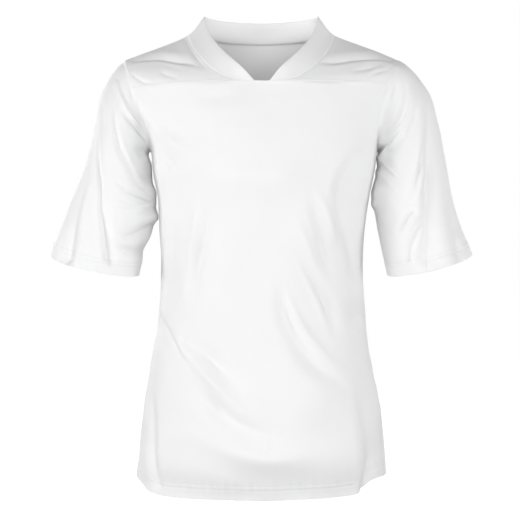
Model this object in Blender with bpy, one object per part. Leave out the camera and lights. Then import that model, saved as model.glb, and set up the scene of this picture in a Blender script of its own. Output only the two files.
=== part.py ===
"""A rugby jersey, standing as it is worn, hollow and with nobody in it.

Six sewn pieces: front panel, back panel, one yoke over both shoulders, two half sleeves and a
V-neck collar band. Each is a closed wall of cloth of one even thickness, and neighbours stop a
seam's gap apart. The front faces -Y, +Z is up, and left and right are those of a front view.
The origin lies midway between the two points where the shoulders meet the neck.

All sizes and tables are in millimetres; the meshes are placed in metres.
"""

from collections import namedtuple

import bmesh
import bpy
import numpy as np

MM = 0.001

# ---------------------------------------------------------------- driving sizes
CLOTH_WALL = 1.5        # panels, yoke and sleeves
BAND_WALL = 2.0         # the collar band is doubled cloth
SEAM_GAP = 0.3          # between neighbouring pieces
LEFT = -1
RIGHT = 1

ROUNDNESS = 2.4         # 2 is an ellipse; more is squarer in the corners
ARMPIT_HEIGHT = -163.0
FRONT_ARMHOLE_DEPTH = 48.0   # how far the armhole runs forward of the side seam
BACK_ARMHOLE_DEPTH = 58.0    # and behind it

BODY_LENGTH = 572.0     # hem to yoke seam at the middle of the back
SEAM_SWING = 0.30       # the left side seam swings forward at the hem, in radians
SWING_TOP = -540.0      # where that swing begins
SWING_LENGTH = 90.0

FRONT_SEAM_CENTRE = -64.5                    # yoke seam, front
FRONT_SEAM_END = {LEFT: -73.5, RIGHT: -66.5}
BACK_SEAM_CENTRE = -84.0                     # yoke seam, back
BACK_SEAM_END = -89.0

NECK_CENTRE = -1.2      # the neck sits a little left of the hem's middle
NECK_GAP = 0.055        # share of the front's half width left open at the foot of the V
BAND_FOOT = 0.18        # and where the band's outer edge meets the yoke seam
BACK_NECK = 0.62        # share of the back's half width below the back neck

SHOULDER_TIP = {LEFT: (-196.0, 5.0, -29.5), RIGHT: (193.0, 5.0, -29.0)}
SHOULDER_BOW = {LEFT: 0.4, RIGHT: 2.2}       # rise of the shoulder line between neck and tip
NECK_LIFT = 3.0         # the shoulder line curls up into the band
NECK_LIFT_REACH = 0.14

SHOULDER_LENGTH = 90.0  # neck to shoulder tip
NECK_FOOT_CLIMB = 32.0  # climb of the neckline as it leaves the yoke seam
SIDE_SPAN = 130.0       # cloth for each unit across, where a panel meets the side seam

ARMHOLE_TURN = 2.6      # how quickly the armhole turns up from the armpit
ARMHOLE_SQUARENESS = 0.55    # less than 1 keeps its sides upright below the yoke seam
ARMPIT_EASE = 0.6       # share of the armhole's height over which the body fills out to it

# How far the yoke's cloth runs on in its direction at each seam and ridge before it turns.
FRONT_LIFT_NECK = 42.0  # up from the front seam, beside the neck and at the armhole
FRONT_LIFT_TIP = 66.0
FRONT_LEAN = 105.0      # and outwards below the neck
RIDGE_PULL_NECK = 80.0  # back over the shoulder line, beside the neck and at the tip
RIDGE_PULL_TIP = 68.0
RIDGE_TILT = 0.07       # rise of the cloth over the line beside the neck
BACK_RIDGE_PULL = 78.0  # behind the shoulder tip
NECK_POINT_PULL = 96.0  # behind the neck point
NECK_POINT_FAN = 60.0   # and outwards from it along the shoulder
BACK_NECK_LEAVE = (0.0, 26.0, -38.0)         # below the back neck
BACK_YOKE_PULL = 62.0   # into the back seam, at the sides
BACK_YOKE_EASE = 10.0   # less than that by so much in the middle
BACK_YOKE_ROUND = 16.0  # and more by so much below the neck points
BACK_YOKE_SOFTEN = 0.17      # how far across the cloth behind the neck point is evened out

CLOTH_COLOUR = (0.86, 0.86, 0.865, 1.0)
CLOTH_ROUGHNESS = 0.62
BAND_COLOUR = (0.84, 0.84, 0.845, 1.0)

# Rounds of the body: half widths to the left and right, depths to the front and back.
Round = namedtuple("Round", "height left right front back")
TORSO = (
    Round(-660, 180.0, 178.5, 107, 105),
    Round(-630, 179.5, 178.0, 114, 109),
    Round(-580, 175.5, 175.5, 121, 112),
    Round(-530, 169.5, 169.5, 122, 109),
    Round(-480, 160.0, 160.0, 118, 101),
    Round(-430, 151.5, 150.5, 112, 91),
    Round(-380, 147.0, 146.0, 108, 84),
    Round(-330, 145.0, 144.5, 108, 83),
    Round(-270, 146.0, 147.5, 112, 88),
    Round(-225, 148.5, 154.0, 116, 95),
    Round(-190, 156.0, 160.5, 117, 99),
    Round(-163, 159.0, 163.5, 115, 101),
    Round(-110, 176.0, 176.0, 102, 100),
    Round(-64, 206.0, 200.0, 88, 93),
)

# Height of the shirt-tail hem, from the middle of the tail (0) round to the side (1).
HemPlace = namedtuple("HemPlace", "share left right")
HEM = (
    HemPlace(0.00, -655.5, -655.5),
    HemPlace(0.20, -654.5, -654.2),
    HemPlace(0.35, -653.2, -651.8),
    HemPlace(0.48, -651.5, -647.8),
    HemPlace(0.56, -649.5, -643.0),
    HemPlace(0.62, -647.0, -637.0),
    HemPlace(0.68, -643.0, -629.5),
    HemPlace(0.74, -635.5, -626.5),
    HemPlace(0.82, -629.0, -625.5),
    HemPlace(1.00, -626.5, -625.0),
)

# How far out the armhole edge lies at each height.
ArmholeEdge = namedtuple("ArmholeEdge", "height left right")
ARMHOLE = (
    ArmholeEdge(-163, 159.0, 163.5),
    ArmholeEdge(-150, 160.5, 164.0),
    ArmholeEdge(-130, 164.5, 165.0),
    ArmholeEdge(-110, 171.0, 167.5),
    ArmholeEdge(-90, 178.0, 171.5),
    ArmholeEdge(-66, 184.5, 177.0),
)

# The neck from the foot of the V round to the middle of the back, on the left side:
# the seam on the yoke, and the band's free edge. Sideways from the neck's centre.
NeckRow = namedtuple("NeckRow", "seam_x seam_y seam_z edge_x edge_y edge_z")
NECK = (
    NeckRow(-37.3, -88.0, -64.5, -10.5, -89.5, -64.5),
    NeckRow(-57.8, -80.0, -55.5, -26.8, -82.5, -46.0),
    NeckRow(-74.8, -68.0, -43.0, -42.8, -70.0, -31.0),
    NeckRow(-88.3, -51.0, -29.0, -58.3, -52.5, -15.5),
    NeckRow(-98.3, -30.0, -14.5, -70.3, -31.0, 1.0),
    NeckRow(-103.8, -10.0, -2.0, -78.0, -10.0, 18.0),
    NeckRow(-105.5, 8.0, 6.5, -82.3, 12.0, 33.5),
    NeckRow(-97.0, 38.0, 5.5, -74.8, 40.0, 33.5),
    NeckRow(-62.0, 65.0, 1.5, -48.8, 60.5, 31.0),
    NeckRow(0.0, 76.0, -1.5, 0.0, 69.0, 29.0),
)
NECK_POINT = 6          # the row where the shoulder line meets the neck
BACK_MIDDLE = 9         # the row at the middle of the back

# Rounds of a sleeve, each between an outer and an inner point of the front view:
# place along the sleeve, those points, depth of the middle, half depth, drop of the front.
SleeveRound = namedtuple("SleeveRound", "along out_x out_z in_x in_z middle depth dip")
SLEEVES = {
    LEFT: (
        SleeveRound(0.16, 229.0, -72, 163.5, -181, 4, 57, 0),
        SleeveRound(0.32, 241.5, -120, 160.0, -203, 1, 61, 0),
        SleeveRound(0.50, 256.5, -170, 155.5, -231, -2, 62, 0),
        SleeveRound(0.68, 274.5, -224, 154.5, -263, -4, 61, 1),
        SleeveRound(0.84, 289.0, -270, 168.0, -300, -6, 60, 4),
        SleeveRound(1.00, 303.0, -311, 177.0, -338, -8, 60, 8),
    ),
    RIGHT: (
        SleeveRound(0.16, 237.0, -72, 168.0, -181, 4, 57, 0),
        SleeveRound(0.32, 252.5, -120, 165.5, -203, 1, 61, 0),
        SleeveRound(0.50, 262.5, -170, 161.0, -231, -2, 62, 0),
        SleeveRound(0.68, 273.5, -224, 164.0, -263, -4, 61, 1),
        SleeveRound(0.84, 286.5, -270, 171.0, -300, -6, 60, 4),
        SleeveRound(1.00, 298.5, -310, 180.5, -338, -8, 60, 8),
    ),
}
SLEEVE_TURN = 26.0      # least pull of the cloth straight out of the armhole
SLEEVE_PULL = 0.9       # that pull as a share of the way to the first round
UNDERARM_SPREAD = 0.55  # how far the underarm leans out before it turns down
UNDERARM_REACH = 0.7    # over how much of the armhole, in radians

# The largest folds, as lines of the front view (or, on the back, of the view through it):
# start, end, sideways bow, half breadth, and depth (a trough is less than 0).
Fold = namedtuple("Fold", "x0 z0 x1 z1 bow breadth depth")
FOLD_TAPER = 0.3        # share of a fold's length over which each end dies out
SIDE_FADE = 10          # powers that keep folds off the side seams and the yoke seam
SEAM_FADE = 30
YOKE_SIDE_FADE = 0.15   # shares of the yoke's front over which folds fade at its edges
YOKE_FOOT_FADE = 0.2
YOKE_RIDGE_FADE = 0.1
SLEEVE_HEAD_FADE = 0.12      # share of the sleeve below the armhole
FACING_EASE = 0.4       # how far round the side a sleeve's front or back folds fade
FRONT_FOLDS = (
    Fold(-140, -398, -112, -462, 3, 11, -4.5),
    Fold(-104, -412, -36, -480, 4, 13, -5.5),
    Fold(-94, -462, 14, -556, 5, 17, -7.0),
    Fold(-108, -533, 20, -586, -6, 16, 4.5),
    Fold(20, -338, 116, -486, -10, 13, -6.5),
    Fold(56, -306, 104, -404, -6, 12, -4.5),
    Fold(112, -208, 152, -290, 4, 13, -4.0),
    Fold(-138, -215, -84, -322, 6, 18, -3.5),
)
YOKE_FOLDS = (
    Fold(-176, -30, -84, -44, -5, 8, -3.2),
    Fold(172, -26, 84, -38, 5, 8, -3.0),
)
BACK_FOLDS = (
    Fold(-138, -205, -40, -352, 8, 16, -6.0),
    Fold(132, -198, 36, -372, -9, 15, -5.5),
    Fold(-118, -352, -8, -398, 7, 13, -5.0),
    Fold(110, -330, 12, -412, -6, 14, -5.5),
    Fold(-96, -452, 30, -548, 6, 17, -6.0),
    Fold(88, -430, -14, -520, 7, 15, 4.0),
)
SLEEVE_FOLDS = {
    LEFT: (
        Fold(-236, -96, -280, -304, 5, 8, -5.0),
        Fold(-235, -150, -221, -300, -7, 10, -5.0),
        Fold(-212, -84, -178, -212, -8, 9, -4.5),
        Fold(-207, -74, -165, -152, 5, 7, 3.0),
    ),
    RIGHT: (
        Fold(238, -84, 232, -300, 6, 9, -5.0),
        Fold(234, -122, 208, -240, 6, 9, -5.0),
        Fold(228, -236, 200, -276, 2, 8, -3.5),
        Fold(172, -168, 200, -206, -2, 7, 3.0),
    ),
}
SLEEVE_BACK_FOLDS = (
    Fold(240, -110, 268, -300, -6, 10, -4.0),
    Fold(214, -96, 190, -236, 8, 10, -4.0),
    Fold(226, -190, 214, -312, 4, 9, -3.0),
)

# ---------------------------------------------------------------- rows and columns of the grids
ARMHOLE_STEPS = (0.0, 0.05, 0.15, 0.30, 0.48, 0.66, 0.83, 1.0)
BODY_ROWS = 21
FRONT_SIDE_COLUMNS = 9
BACK_NECK_COLUMNS = 5
YOKE_FRONT_ROWS = 8
YOKE_BACK_ROWS = 7
BAND_COLUMNS = 2
SLEEVE_ROWS = (0.0, 0.03, 0.07, 0.12, 0.18, 0.26, 0.36, 0.46, 0.56, 0.66, 0.76, 0.84, 0.92, 1.0)

SOFTEN_WEIGHTS = ((-1.0, 1 / 9), (-0.5, 2 / 9), (0.0, 3 / 9), (0.5, 2 / 9), (1.0, 1 / 9))

STEP = 1e-3             # parameter step for slopes
MERGE = 2e-5            # metres, to join grids along a shared line
SHARP_ANGLE = 50        # degrees
BAND_SEAM_SHARE = 1.5   # the band's foot stands off its seam by this many seam gaps


# ---------------------------------------------------------------- small maths
def smooth(value):
    """Eased step from 0 to 1."""
    held = np.clip(value, 0.0, 1.0)
    return held * held * (3.0 - 2.0 * held)


def unit(vectors):
    """Vectors at length 1."""
    return vectors / np.linalg.norm(vectors, axis=-1, keepdims=True)


def hermite(start, leave, end, arrive, share):
    """Cubic curve between two points with given end slopes."""
    share = np.asarray(share)[..., None]
    square = share * share
    cube = square * share
    return ((2 * cube - 3 * square + 1) * start + (cube - 2 * square + share) * leave
            + (3 * square - 2 * cube) * end + (cube - square) * arrive)


def read_curve(places, values, at):
    """Smooth curve through a table's values, run on in a straight line past its ends."""
    places = np.asarray(places, float)
    values = np.asarray(values, float)
    slopes = np.gradient(values, places, axis=0)
    at = np.asarray(at, float)
    held = np.clip(at, places[0], places[-1])
    row = np.clip(np.searchsorted(places, held) - 1, 0, len(places) - 2)
    span = places[row + 1] - places[row]
    share = (held - places[row]) / span
    if values.ndim == 1:
        curve = hermite(values[row][..., None], (slopes[row] * span)[..., None],
                        values[row + 1][..., None], (slopes[row + 1] * span)[..., None], share)[..., 0]
        return curve + (at - held) * np.where(at < held, slopes[0], slopes[-1])
    curve = hermite(values[row], slopes[row] * span[..., None],
                    values[row + 1], slopes[row + 1] * span[..., None], share)
    past = (at - held)[..., None]
    return curve + past * np.where(past < 0, slopes[0], slopes[-1])


def column(table, name):
    """One named column of a table."""
    return np.array([getattr(row, name) for row in table], float)


def table_value(table, name, height):
    """A table's named column, read at a height."""
    return read_curve(column(table, "height"), column(table, name), height)


def by_side(across, left, right):
    """A left or a right value, by the sign of the place across."""
    return np.where(across < 0, left, right)


# ---------------------------------------------------------------- the body's form
def depth_at(face, height):
    """Depth of a face at its centre line."""
    return table_value(TORSO, face, height)


def armhole_climb(face, height):
    """Share of the armhole's height: 0 at the armpit and below it, 1 at the yoke seam."""
    top = FRONT_SEAM_CENTRE if face == "front" else BACK_SEAM_CENTRE
    return np.clip((height - ARMPIT_HEIGHT) / (top - ARMPIT_HEIGHT), 0.0, 1.0)


def edge_place(face, height):
    """Armhole edge on a round of size 1, forward and out: it runs up a round-bottomed U."""
    reach = FRONT_ARMHOLE_DEPTH if face == "front" else BACK_ARMHOLE_DEPTH
    turned = 1.0 - (1.0 - armhole_climb(face, height)) ** ARMHOLE_TURN
    forward = reach * turned ** ARMHOLE_SQUARENESS / depth_at(face, height)
    return forward, (1.0 - forward ** ROUNDNESS) ** (1.0 / ROUNDNESS)


def half_width(face, side, height):
    """Half width of the round at a height, filled out so that it meets the armhole's edge."""
    plain = table_value(TORSO, side, height)
    edge = table_value(ARMHOLE, side, height) / edge_place(face, height)[1]
    return plain + (edge - plain) * smooth(armhole_climb(face, height) / ARMPIT_EASE)


def edge_angle(face, side, height):
    """Angle from the face's centre line to its side seam or armhole edge."""
    swing = SEAM_SWING * smooth((SWING_TOP - height) / SWING_LENGTH) * (side == "left")
    seam = np.pi / 2 + (swing if face == "back" else -swing)
    forward, out = edge_place(face, height)
    return np.where(height > ARMPIT_HEIGHT, np.arctan2(out, forward), seam)


def hem_height(face, across):
    """Shirt-tail hem: nearly level in the middle, then a quick sweep up to the side."""
    reach = by_side(across, edge_angle(face, "left", HEM[0].left),
                    edge_angle(face, "right", HEM[0].right))
    share = np.abs(across) * reach / (np.pi / 2)
    share = np.where(share > 1.0, 2.0 - share, share)
    places = column(HEM, "share")
    return by_side(across, read_curve(places, column(HEM, "left"), share),
                   read_curve(places, column(HEM, "right"), share))


def seam_height(face, across):
    """Height of the yoke seam."""
    if face == "front":
        end = by_side(across, FRONT_SEAM_END[LEFT], FRONT_SEAM_END[RIGHT])
        return FRONT_SEAM_CENTRE + (end - FRONT_SEAM_CENTRE) * across ** 2
    return BACK_SEAM_CENTRE + (BACK_SEAM_END - BACK_SEAM_CENTRE) * across ** 2


def torso(face, across, up):
    """Point of a panel's form: across -1 to 1 between its edges, up 0 to 1 from hem to yoke."""
    across, up = np.broadcast_arrays(np.asarray(across, float), np.asarray(up, float))
    height = hem_height(face, across) * (1.0 - up) + seam_height(face, across) * up
    width = by_side(across, half_width(face, "left", height), half_width(face, "right", height))
    limit = by_side(across, edge_angle(face, "left", height), edge_angle(face, "right", height))
    angle = across * limit
    other = "back" if face == "front" else "front"
    depth = np.where(np.cos(angle) >= 0, depth_at(face, height), depth_at(other, height))
    radius = (np.abs(np.sin(angle)) ** ROUNDNESS
              + np.abs(np.cos(angle)) ** ROUNDNESS) ** (-1.0 / ROUNDNESS)
    forward = -1.0 if face == "front" else 1.0
    return np.stack([width * radius * np.sin(angle),
                     forward * depth * radius * np.cos(angle), height], axis=-1)


def torso_slope(face, across, up):
    """Directions along the panel: outwards to its nearer edge, and up."""
    out = torso(face, across + STEP, up) - torso(face, across - STEP, up)
    rise = torso(face, across, up + STEP) - torso(face, across, up - STEP)
    out = out * np.where(np.asarray(across) < 0, -1.0, 1.0)[..., None]
    return unit(out), unit(rise)


# ---------------------------------------------------------------- the yoke's form
def neck_curve(side, row, edge):
    """Neck seam or band edge at a row of the neck table, on one side."""
    points = np.stack([column(NECK, edge + axis) for axis in ("_x", "_y", "_z")], axis=-1)
    points = np.concatenate([points, points[-2::-1] * (-1.0, 1.0, 1.0)])
    foot_share = BAND_FOOT if edge == "seam" else NECK_GAP
    places = np.arange(len(points), dtype=float)
    curve = read_curve(places, points, row)
    curve = curve * (-side, 1.0, 1.0) + (NECK_CENTRE, 0.0, 0.0)
    foot = torso("front", side * foot_share, 1.0)
    start = points[0] * (-side, 1.0, 1.0) + (NECK_CENTRE, 0.0, 0.0)
    fade = np.clip(1.0 - np.asarray(row, float), 0.0, 1.0)[..., None]
    return curve + fade * (foot - start)


def shoulder_line(side, over):
    """Ridge of the shoulder: over 0 at the neck, 1 at the tip."""
    over = np.asarray(over, float)[..., None]
    neck = neck_curve(side, float(NECK_POINT), "seam")
    tip = np.array(SHOULDER_TIP[side])
    lift = (NECK_LIFT * (np.exp(-over / NECK_LIFT_REACH) - 1.0 + over)
            + SHOULDER_BOW[side] * 4.0 * over * (1.0 - over))
    return neck + over * (tip - neck) + lift * np.array([0.0, 0.0, 1.0])


def ridge_direction(side, over):
    """Direction of the shoulder line, away from the neck; beside the neck it stays as at its end."""
    held = np.maximum(over, 0.0)
    return unit(shoulder_line(side, held + STEP) - shoulder_line(side, held))


def yoke_front(side, over, rise):
    """Front of the yoke: rise 0 at the front seam, 1 on the shoulder line."""
    over, rise = np.broadcast_arrays(np.asarray(over, float), np.asarray(rise, float))

    def column_curve(at, share):
        across = side * (BAND_FOOT + (1.0 - BAND_FOOT) * at)
        foot = torso("front", across, 1.0)
        out, up = torso_slope("front", across, 1.0)
        lean = FRONT_LEAN * (1.0 - at[..., None]) ** 2
        lift = FRONT_LIFT_NECK + (FRONT_LIFT_TIP - FRONT_LIFT_NECK) * at[..., None]
        pull = RIDGE_PULL_NECK + (RIDGE_PULL_TIP - RIDGE_PULL_NECK) * at
        tilt = RIDGE_PULL_NECK * RIDGE_TILT * (1.0 - at) ** 2
        over_ridge = np.stack([0.0 * at, pull, tilt], axis=-1)
        return hermite(foot, lean * out + lift * up, shoulder_line(side, at), over_ridge, share)

    neckline = neck_curve(side, rise * NECK_POINT, "seam")
    shift = neckline - column_curve(np.zeros_like(rise), rise)
    return column_curve(over, rise) + shift * (np.clip(1.0 - over, 0.0, 1.0) ** 2)[..., None]


def yoke_back_columns(across, fall):
    """Back of the yoke as plain columns from the shoulder line and back neck to the seam."""
    share = np.abs(across)
    over = (share - BACK_NECK) / (1.0 - BACK_NECK)
    row = BACK_MIDDLE - (BACK_MIDDLE - NECK_POINT) * share / BACK_NECK
    ridge = np.where((across < 0)[..., None], shoulder_line(LEFT, over), shoulder_line(RIGHT, over))
    neck = np.where((across < 0)[..., None], neck_curve(LEFT, row, "seam"),
                    neck_curve(RIGHT, row, "seam"))
    top = np.where((share >= BACK_NECK)[..., None], ridge, neck)
    middle = np.clip(1.0 - share / BACK_NECK, 0.0, 1.0)[..., None]
    near_neck = np.clip(1.0 - over, 0.0, 1.0)[..., None] ** 2
    along = np.where((across < 0)[..., None], ridge_direction(LEFT, over), ridge_direction(RIGHT, over))
    pull = BACK_RIDGE_PULL + (NECK_POINT_PULL - BACK_RIDGE_PULL) * near_neck
    over_ridge = pull * np.array([0.0, 1.0, 0.0]) + pull * near_neck * np.array([0.0, 0.0, RIDGE_TILT])
    leave = over_ridge + NECK_POINT_FAN * near_neck * along
    leave = (1.0 - middle) * leave + middle * np.array(BACK_NECK_LEAVE)
    rise = torso_slope("back", across, 1.0)[1]
    arrive = -rise * (BACK_YOKE_PULL - BACK_YOKE_EASE * middle
                      + BACK_YOKE_ROUND * near_neck * (1.0 - middle))
    return hermite(top, leave, torso("back", across, 1.0), arrive, fall)


def yoke_back(across, fall):
    """Back of the yoke: fall 0 on the shoulder line and back neck, 1 at the back seam.

    Its columns are averaged with their neighbours, most of all half way down."""
    across, fall = np.broadcast_arrays(np.asarray(across, float), np.asarray(fall, float))
    held = np.clip(fall, 0.0, 1.0)
    spread = BACK_YOKE_SOFTEN * np.sqrt(4.0 * held * (1.0 - held))
    spread = spread * np.clip(1.0 - across ** 4, 0.0, 1.0)
    total = 0.0
    for shift, weight in SOFTEN_WEIGHTS:
        total = total + weight * yoke_back_columns(across + shift * spread, fall)
    return total


# ---------------------------------------------------------------- folds
def fold_depth(folds, points):
    """Height of the folds above the plain form, for lines drawn in the front view."""
    x = points[..., 0]
    z = points[..., 2]
    total = np.zeros_like(x)
    for fold in folds:
        run = np.array([fold.x1 - fold.x0, fold.z1 - fold.z0], float)
        length = np.hypot(*run)
        along = ((x - fold.x0) * run[0] + (z - fold.z0) * run[1]) / length ** 2
        aside = ((x - fold.x0) * run[1] - (z - fold.z0) * run[0]) / length
        aside = aside - fold.bow * 4.0 * along * (1.0 - along)
        ends = smooth(along / FOLD_TAPER) * smooth((1.0 - along) / FOLD_TAPER)
        total += fold.depth * ends * np.exp(-(aside / fold.breadth) ** 2)
    return total


def surface_normal(surface, first, second):
    """Unit normal of a surface, by small steps."""
    by_first = surface(first + STEP, second) - surface(first - STEP, second)
    by_second = surface(first, second + STEP) - surface(first, second - STEP)
    return unit(np.cross(by_first, by_second))


def folded(surface, folds, fade, flip):
    """A surface with its folds laid on, faded out where it is sewn."""
    def with_folds(first, second):
        points = surface(first, second)
        normal = surface_normal(surface, first, second) * flip
        return points + normal * (fold_depth(folds, points) * fade(first, second))[..., None]
    return with_folds


def panel_fade(across, up):
    """Folds stop short of the side seams, the armholes and the yoke seam."""
    sides = np.clip(1.0 - np.abs(across) ** SIDE_FADE, 0.0, 1.0)
    return sides * (1.0 - np.clip(up, 0.0, 1.0) ** SEAM_FADE)


def yoke_fade(over, rise):
    """Folds stop short of all the yoke's seams."""
    ends = smooth(over / YOKE_SIDE_FADE) * smooth((1.0 - over) / YOKE_SIDE_FADE)
    return ends * smooth(rise / YOKE_FOOT_FADE) * smooth((1.0 - rise) / YOKE_RIDGE_FADE)


def front_surface(across, up):
    """The front panel with its folds."""
    return folded(lambda a, b: torso("front", a, b), FRONT_FOLDS, panel_fade, 1)(across, up)


def back_surface(across, up):
    """The back panel with its folds."""
    return folded(lambda a, b: torso("back", a, b), BACK_FOLDS, panel_fade, -1)(across, up)


def yoke_front_surface(side):
    """One front of the yoke with its folds."""
    return folded(lambda a, b: yoke_front(side, a, b), YOKE_FOLDS, yoke_fade, side)


# ---------------------------------------------------------------- seams shared by neighbours
def panel_rows(face, side):
    """Places up a panel's edge: even below the armpit, closer round the armhole."""
    hem = hem_height(face, float(side))
    pit = (ARMPIT_HEIGHT - hem) / (seam_height(face, float(side)) - hem)
    below = np.linspace(0.0, pit, BODY_ROWS + 1)
    above = pit + (1.0 - pit) * np.array(ARMHOLE_STEPS[1:])
    return np.concatenate([below, above])


def front_columns():
    """Places across the front: the foot of the V, the band's foot, then even to the edge."""
    inner = np.array([0.0, NECK_GAP, (NECK_GAP + BAND_FOOT) / 2])
    outer = np.linspace(BAND_FOOT, 1.0, FRONT_SIDE_COLUMNS + 1)
    half = np.concatenate([inner, outer])
    return np.concatenate([-half[:0:-1], half])


def back_columns():
    """Places across the back: below the neck, then below each shoulder."""
    inner = np.linspace(0.0, BACK_NECK, BACK_NECK_COLUMNS + 1)
    outer = np.linspace(BACK_NECK, 1.0, FRONT_SIDE_COLUMNS + 1)
    half = np.concatenate([inner[:-1], outer])
    return np.concatenate([-half[:0:-1], half])


def armhole_line(side):
    """The closed armhole seam from the shoulder tip down the front and up the back.

    Gives its points, the cloth's normals there and the directions straight out of the hole."""
    front_rise = np.linspace(1.0, 0.0, YOKE_FRONT_ROWS + 1)
    front_up = panel_rows("front", side)[:BODY_ROWS - 1:-1][1:]
    back_up = panel_rows("back", side)[BODY_ROWS + 1:]
    back_fall = np.linspace(1.0, 0.0, YOKE_BACK_ROWS + 1)[1:-1]
    one = float(side)
    parts = (
        (lambda a, b: yoke_front(side, a, b), 1.0, front_rise, side),
        (lambda a, b: torso("front", a, b), one, front_up, 1),
        (lambda a, b: torso("back", a, b), one, back_up, -1),
        (yoke_back, one, back_fall, 1),
    )
    points = []
    normals = []
    for surface, first, second, flip in parts:
        points.append(surface(np.full_like(second, first), second))
        normals.append(surface_normal(surface, np.full_like(second, first), second) * flip)
    points = np.concatenate(points)
    normals = np.concatenate(normals)
    return points, normals


# ---------------------------------------------------------------- meshes
def cloth_material(name, colour):
    """Plain knitted cloth."""
    material = bpy.data.materials.new(name)
    material.use_nodes = True
    shader = material.node_tree.nodes["Principled BSDF"]
    shader.inputs["Base Color"].default_value = colour
    shader.inputs["Roughness"].default_value = CLOTH_ROUGHNESS
    shader.inputs["Metallic"].default_value = 0.0
    return material


def add_grid(mesh, outer, inner, spots):
    """Lay one grid of quads on the outer points, and remember each vertex's inner point."""
    rows, columns = outer.shape[:2]
    made = bmesh.ops.create_grid(mesh, x_segments=columns - 1, y_segments=rows - 1, size=1.0)
    layer = mesh.verts.layers.int["spot"]
    for vert in made["verts"]:
        i = round((vert.co.y + 1.0) / 2.0 * (rows - 1))
        j = round((vert.co.x + 1.0) / 2.0 * (columns - 1))
        vert[layer] = len(spots)
        spots.append(inner[i, j] * MM)
        vert.co = outer[i, j] * MM


def build_wall(name, grids, material):
    """Turn grids of middle points and normals into one closed wall of cloth."""
    mesh = bmesh.new()
    mesh.verts.layers.int.new("spot")
    spots = []
    for middle, normal, wall in grids:
        add_grid(mesh, middle + normal * wall / 2, middle - normal * wall / 2, spots)
    bmesh.ops.remove_doubles(mesh, verts=mesh.verts[:], dist=MERGE)
    bmesh.ops.triangulate(mesh, faces=mesh.faces[:])
    layer = mesh.verts.layers.int["spot"]
    made = bmesh.ops.extrude_face_region(mesh, geom=mesh.faces[:], use_keep_orig=True)
    for part in made["geom"]:
        if isinstance(part, bmesh.types.BMVert):
            part.co = spots[part[layer]]
    bmesh.ops.recalc_face_normals(mesh, faces=mesh.faces[:])
    data = bpy.data.meshes.new(name)
    mesh.to_mesh(data)
    mesh.free()
    data.shade_smooth()
    data.set_sharp_from_angle(angle=np.radians(SHARP_ANGLE))
    data.materials.append(material)
    piece = bpy.data.objects.new(name, data)
    bpy.context.scene.collection.objects.link(piece)
    return piece


def grid_of(surface, first, second, flip, wall):
    """Middle points and normals of a surface at all pairs of two lists of places."""
    second, first = np.meshgrid(second, first, indexing="ij")
    return surface(first, second), surface_normal(surface, first, second) * flip, wall


# ---------------------------------------------------------------- sleeves
def loop_angles(points, pit):
    """Angle round the sleeve for each armhole point: 0 at the shoulder tip, minus pi at the pit."""
    spans = np.linalg.norm(np.roll(points, -1, axis=0) - points, axis=1)
    walked = np.concatenate([[0.0], np.cumsum(spans)])
    front = walked[:pit + 1] / walked[pit]
    back = 1.0 + (walked[pit + 1:-1] - walked[pit]) / (walked[-1] - walked[pit])
    return -np.pi * np.concatenate([front, back])


def sleeve_frame(side):
    """The sleeve's rounds, from the armhole down: places, points and slopes."""
    points, normals = armhole_line(side)
    pit = int(np.argmin(points[:, 2]))
    angles = loop_angles(points, pit)
    ahead = unit(np.roll(points, -1, axis=0) - np.roll(points, 1, axis=0))
    out = unit(np.cross(normals, ahead)) * side
    underarm = np.exp(-((angles + np.pi) / UNDERARM_REACH) ** 2)
    lean = unit(out + underarm[:, None] * np.array([side * UNDERARM_SPREAD, 0.0, 0.0]))
    rounds = [points + out * SEAM_GAP]
    for row in SLEEVES[side]:
        outer = np.array([side * row.out_x, row.middle, row.out_z])
        inner = np.array([side * row.in_x, row.middle, row.in_z])
        swing = np.array([0.0, row.depth, row.dip])
        rounds.append((outer + inner) / 2 + np.cos(angles)[:, None] * (outer - inner) / 2
                      + np.sin(angles)[:, None] * swing)
    rounds = np.array(rounds)
    places = np.array([0.0] + [row.along for row in SLEEVES[side]])
    slopes = np.gradient(rounds, places, axis=0)
    pull = np.maximum(SLEEVE_PULL * np.linalg.norm(rounds[1] - rounds[0], axis=1), SLEEVE_TURN)
    slopes[0] = lean * pull[:, None] / places[1]
    return places, rounds, slopes, normals


def sleeve_points(frame, along):
    """Points down the sleeve, one column for each armhole point."""
    places, rounds, slopes, _ = frame
    row = np.clip(np.searchsorted(places, along) - 1, 0, len(places) - 2)
    span = (places[row + 1] - places[row])[:, None, None]
    share = ((along - places[row])[:, None] / span[:, :, 0]) * np.ones(rounds.shape[1])
    return hermite(rounds[row], slopes[row] * span, rounds[row + 1], slopes[row + 1] * span, share)


def sleeve_normals(frame, points, along, side):
    """Normals of the sleeve, which start as those of the body at the armhole."""
    round_it = np.roll(points, -1, axis=1) - np.roll(points, 1, axis=1)
    down = sleeve_points(frame, along + STEP) - sleeve_points(frame, along - STEP)
    normals = unit(np.cross(round_it, down)) * side
    normals[0] = frame[3]
    return normals


def sleeve_grid(side):
    """Middle points and normals of a folded sleeve; the last column meets the first."""
    frame = sleeve_frame(side)
    along = np.array(SLEEVE_ROWS)
    plain = sleeve_points(frame, along)
    normals = sleeve_normals(frame, plain, along, side)
    facing = normals[..., 1]
    fade = smooth(along / SLEEVE_HEAD_FADE)[:, None]
    mirrored = plain * (side, 1.0, 1.0)
    height = (fold_depth(SLEEVE_FOLDS[side], plain) * smooth(-facing / FACING_EASE)
              + fold_depth(SLEEVE_BACK_FOLDS, mirrored) * smooth(facing / FACING_EASE)) * fade
    middle = plain + normals * height[..., None]
    middle = np.concatenate([middle, middle[:, :1]], axis=1)
    normals = np.concatenate([normals, normals[:, :1]], axis=1)
    return middle, normals, CLOTH_WALL


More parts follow.
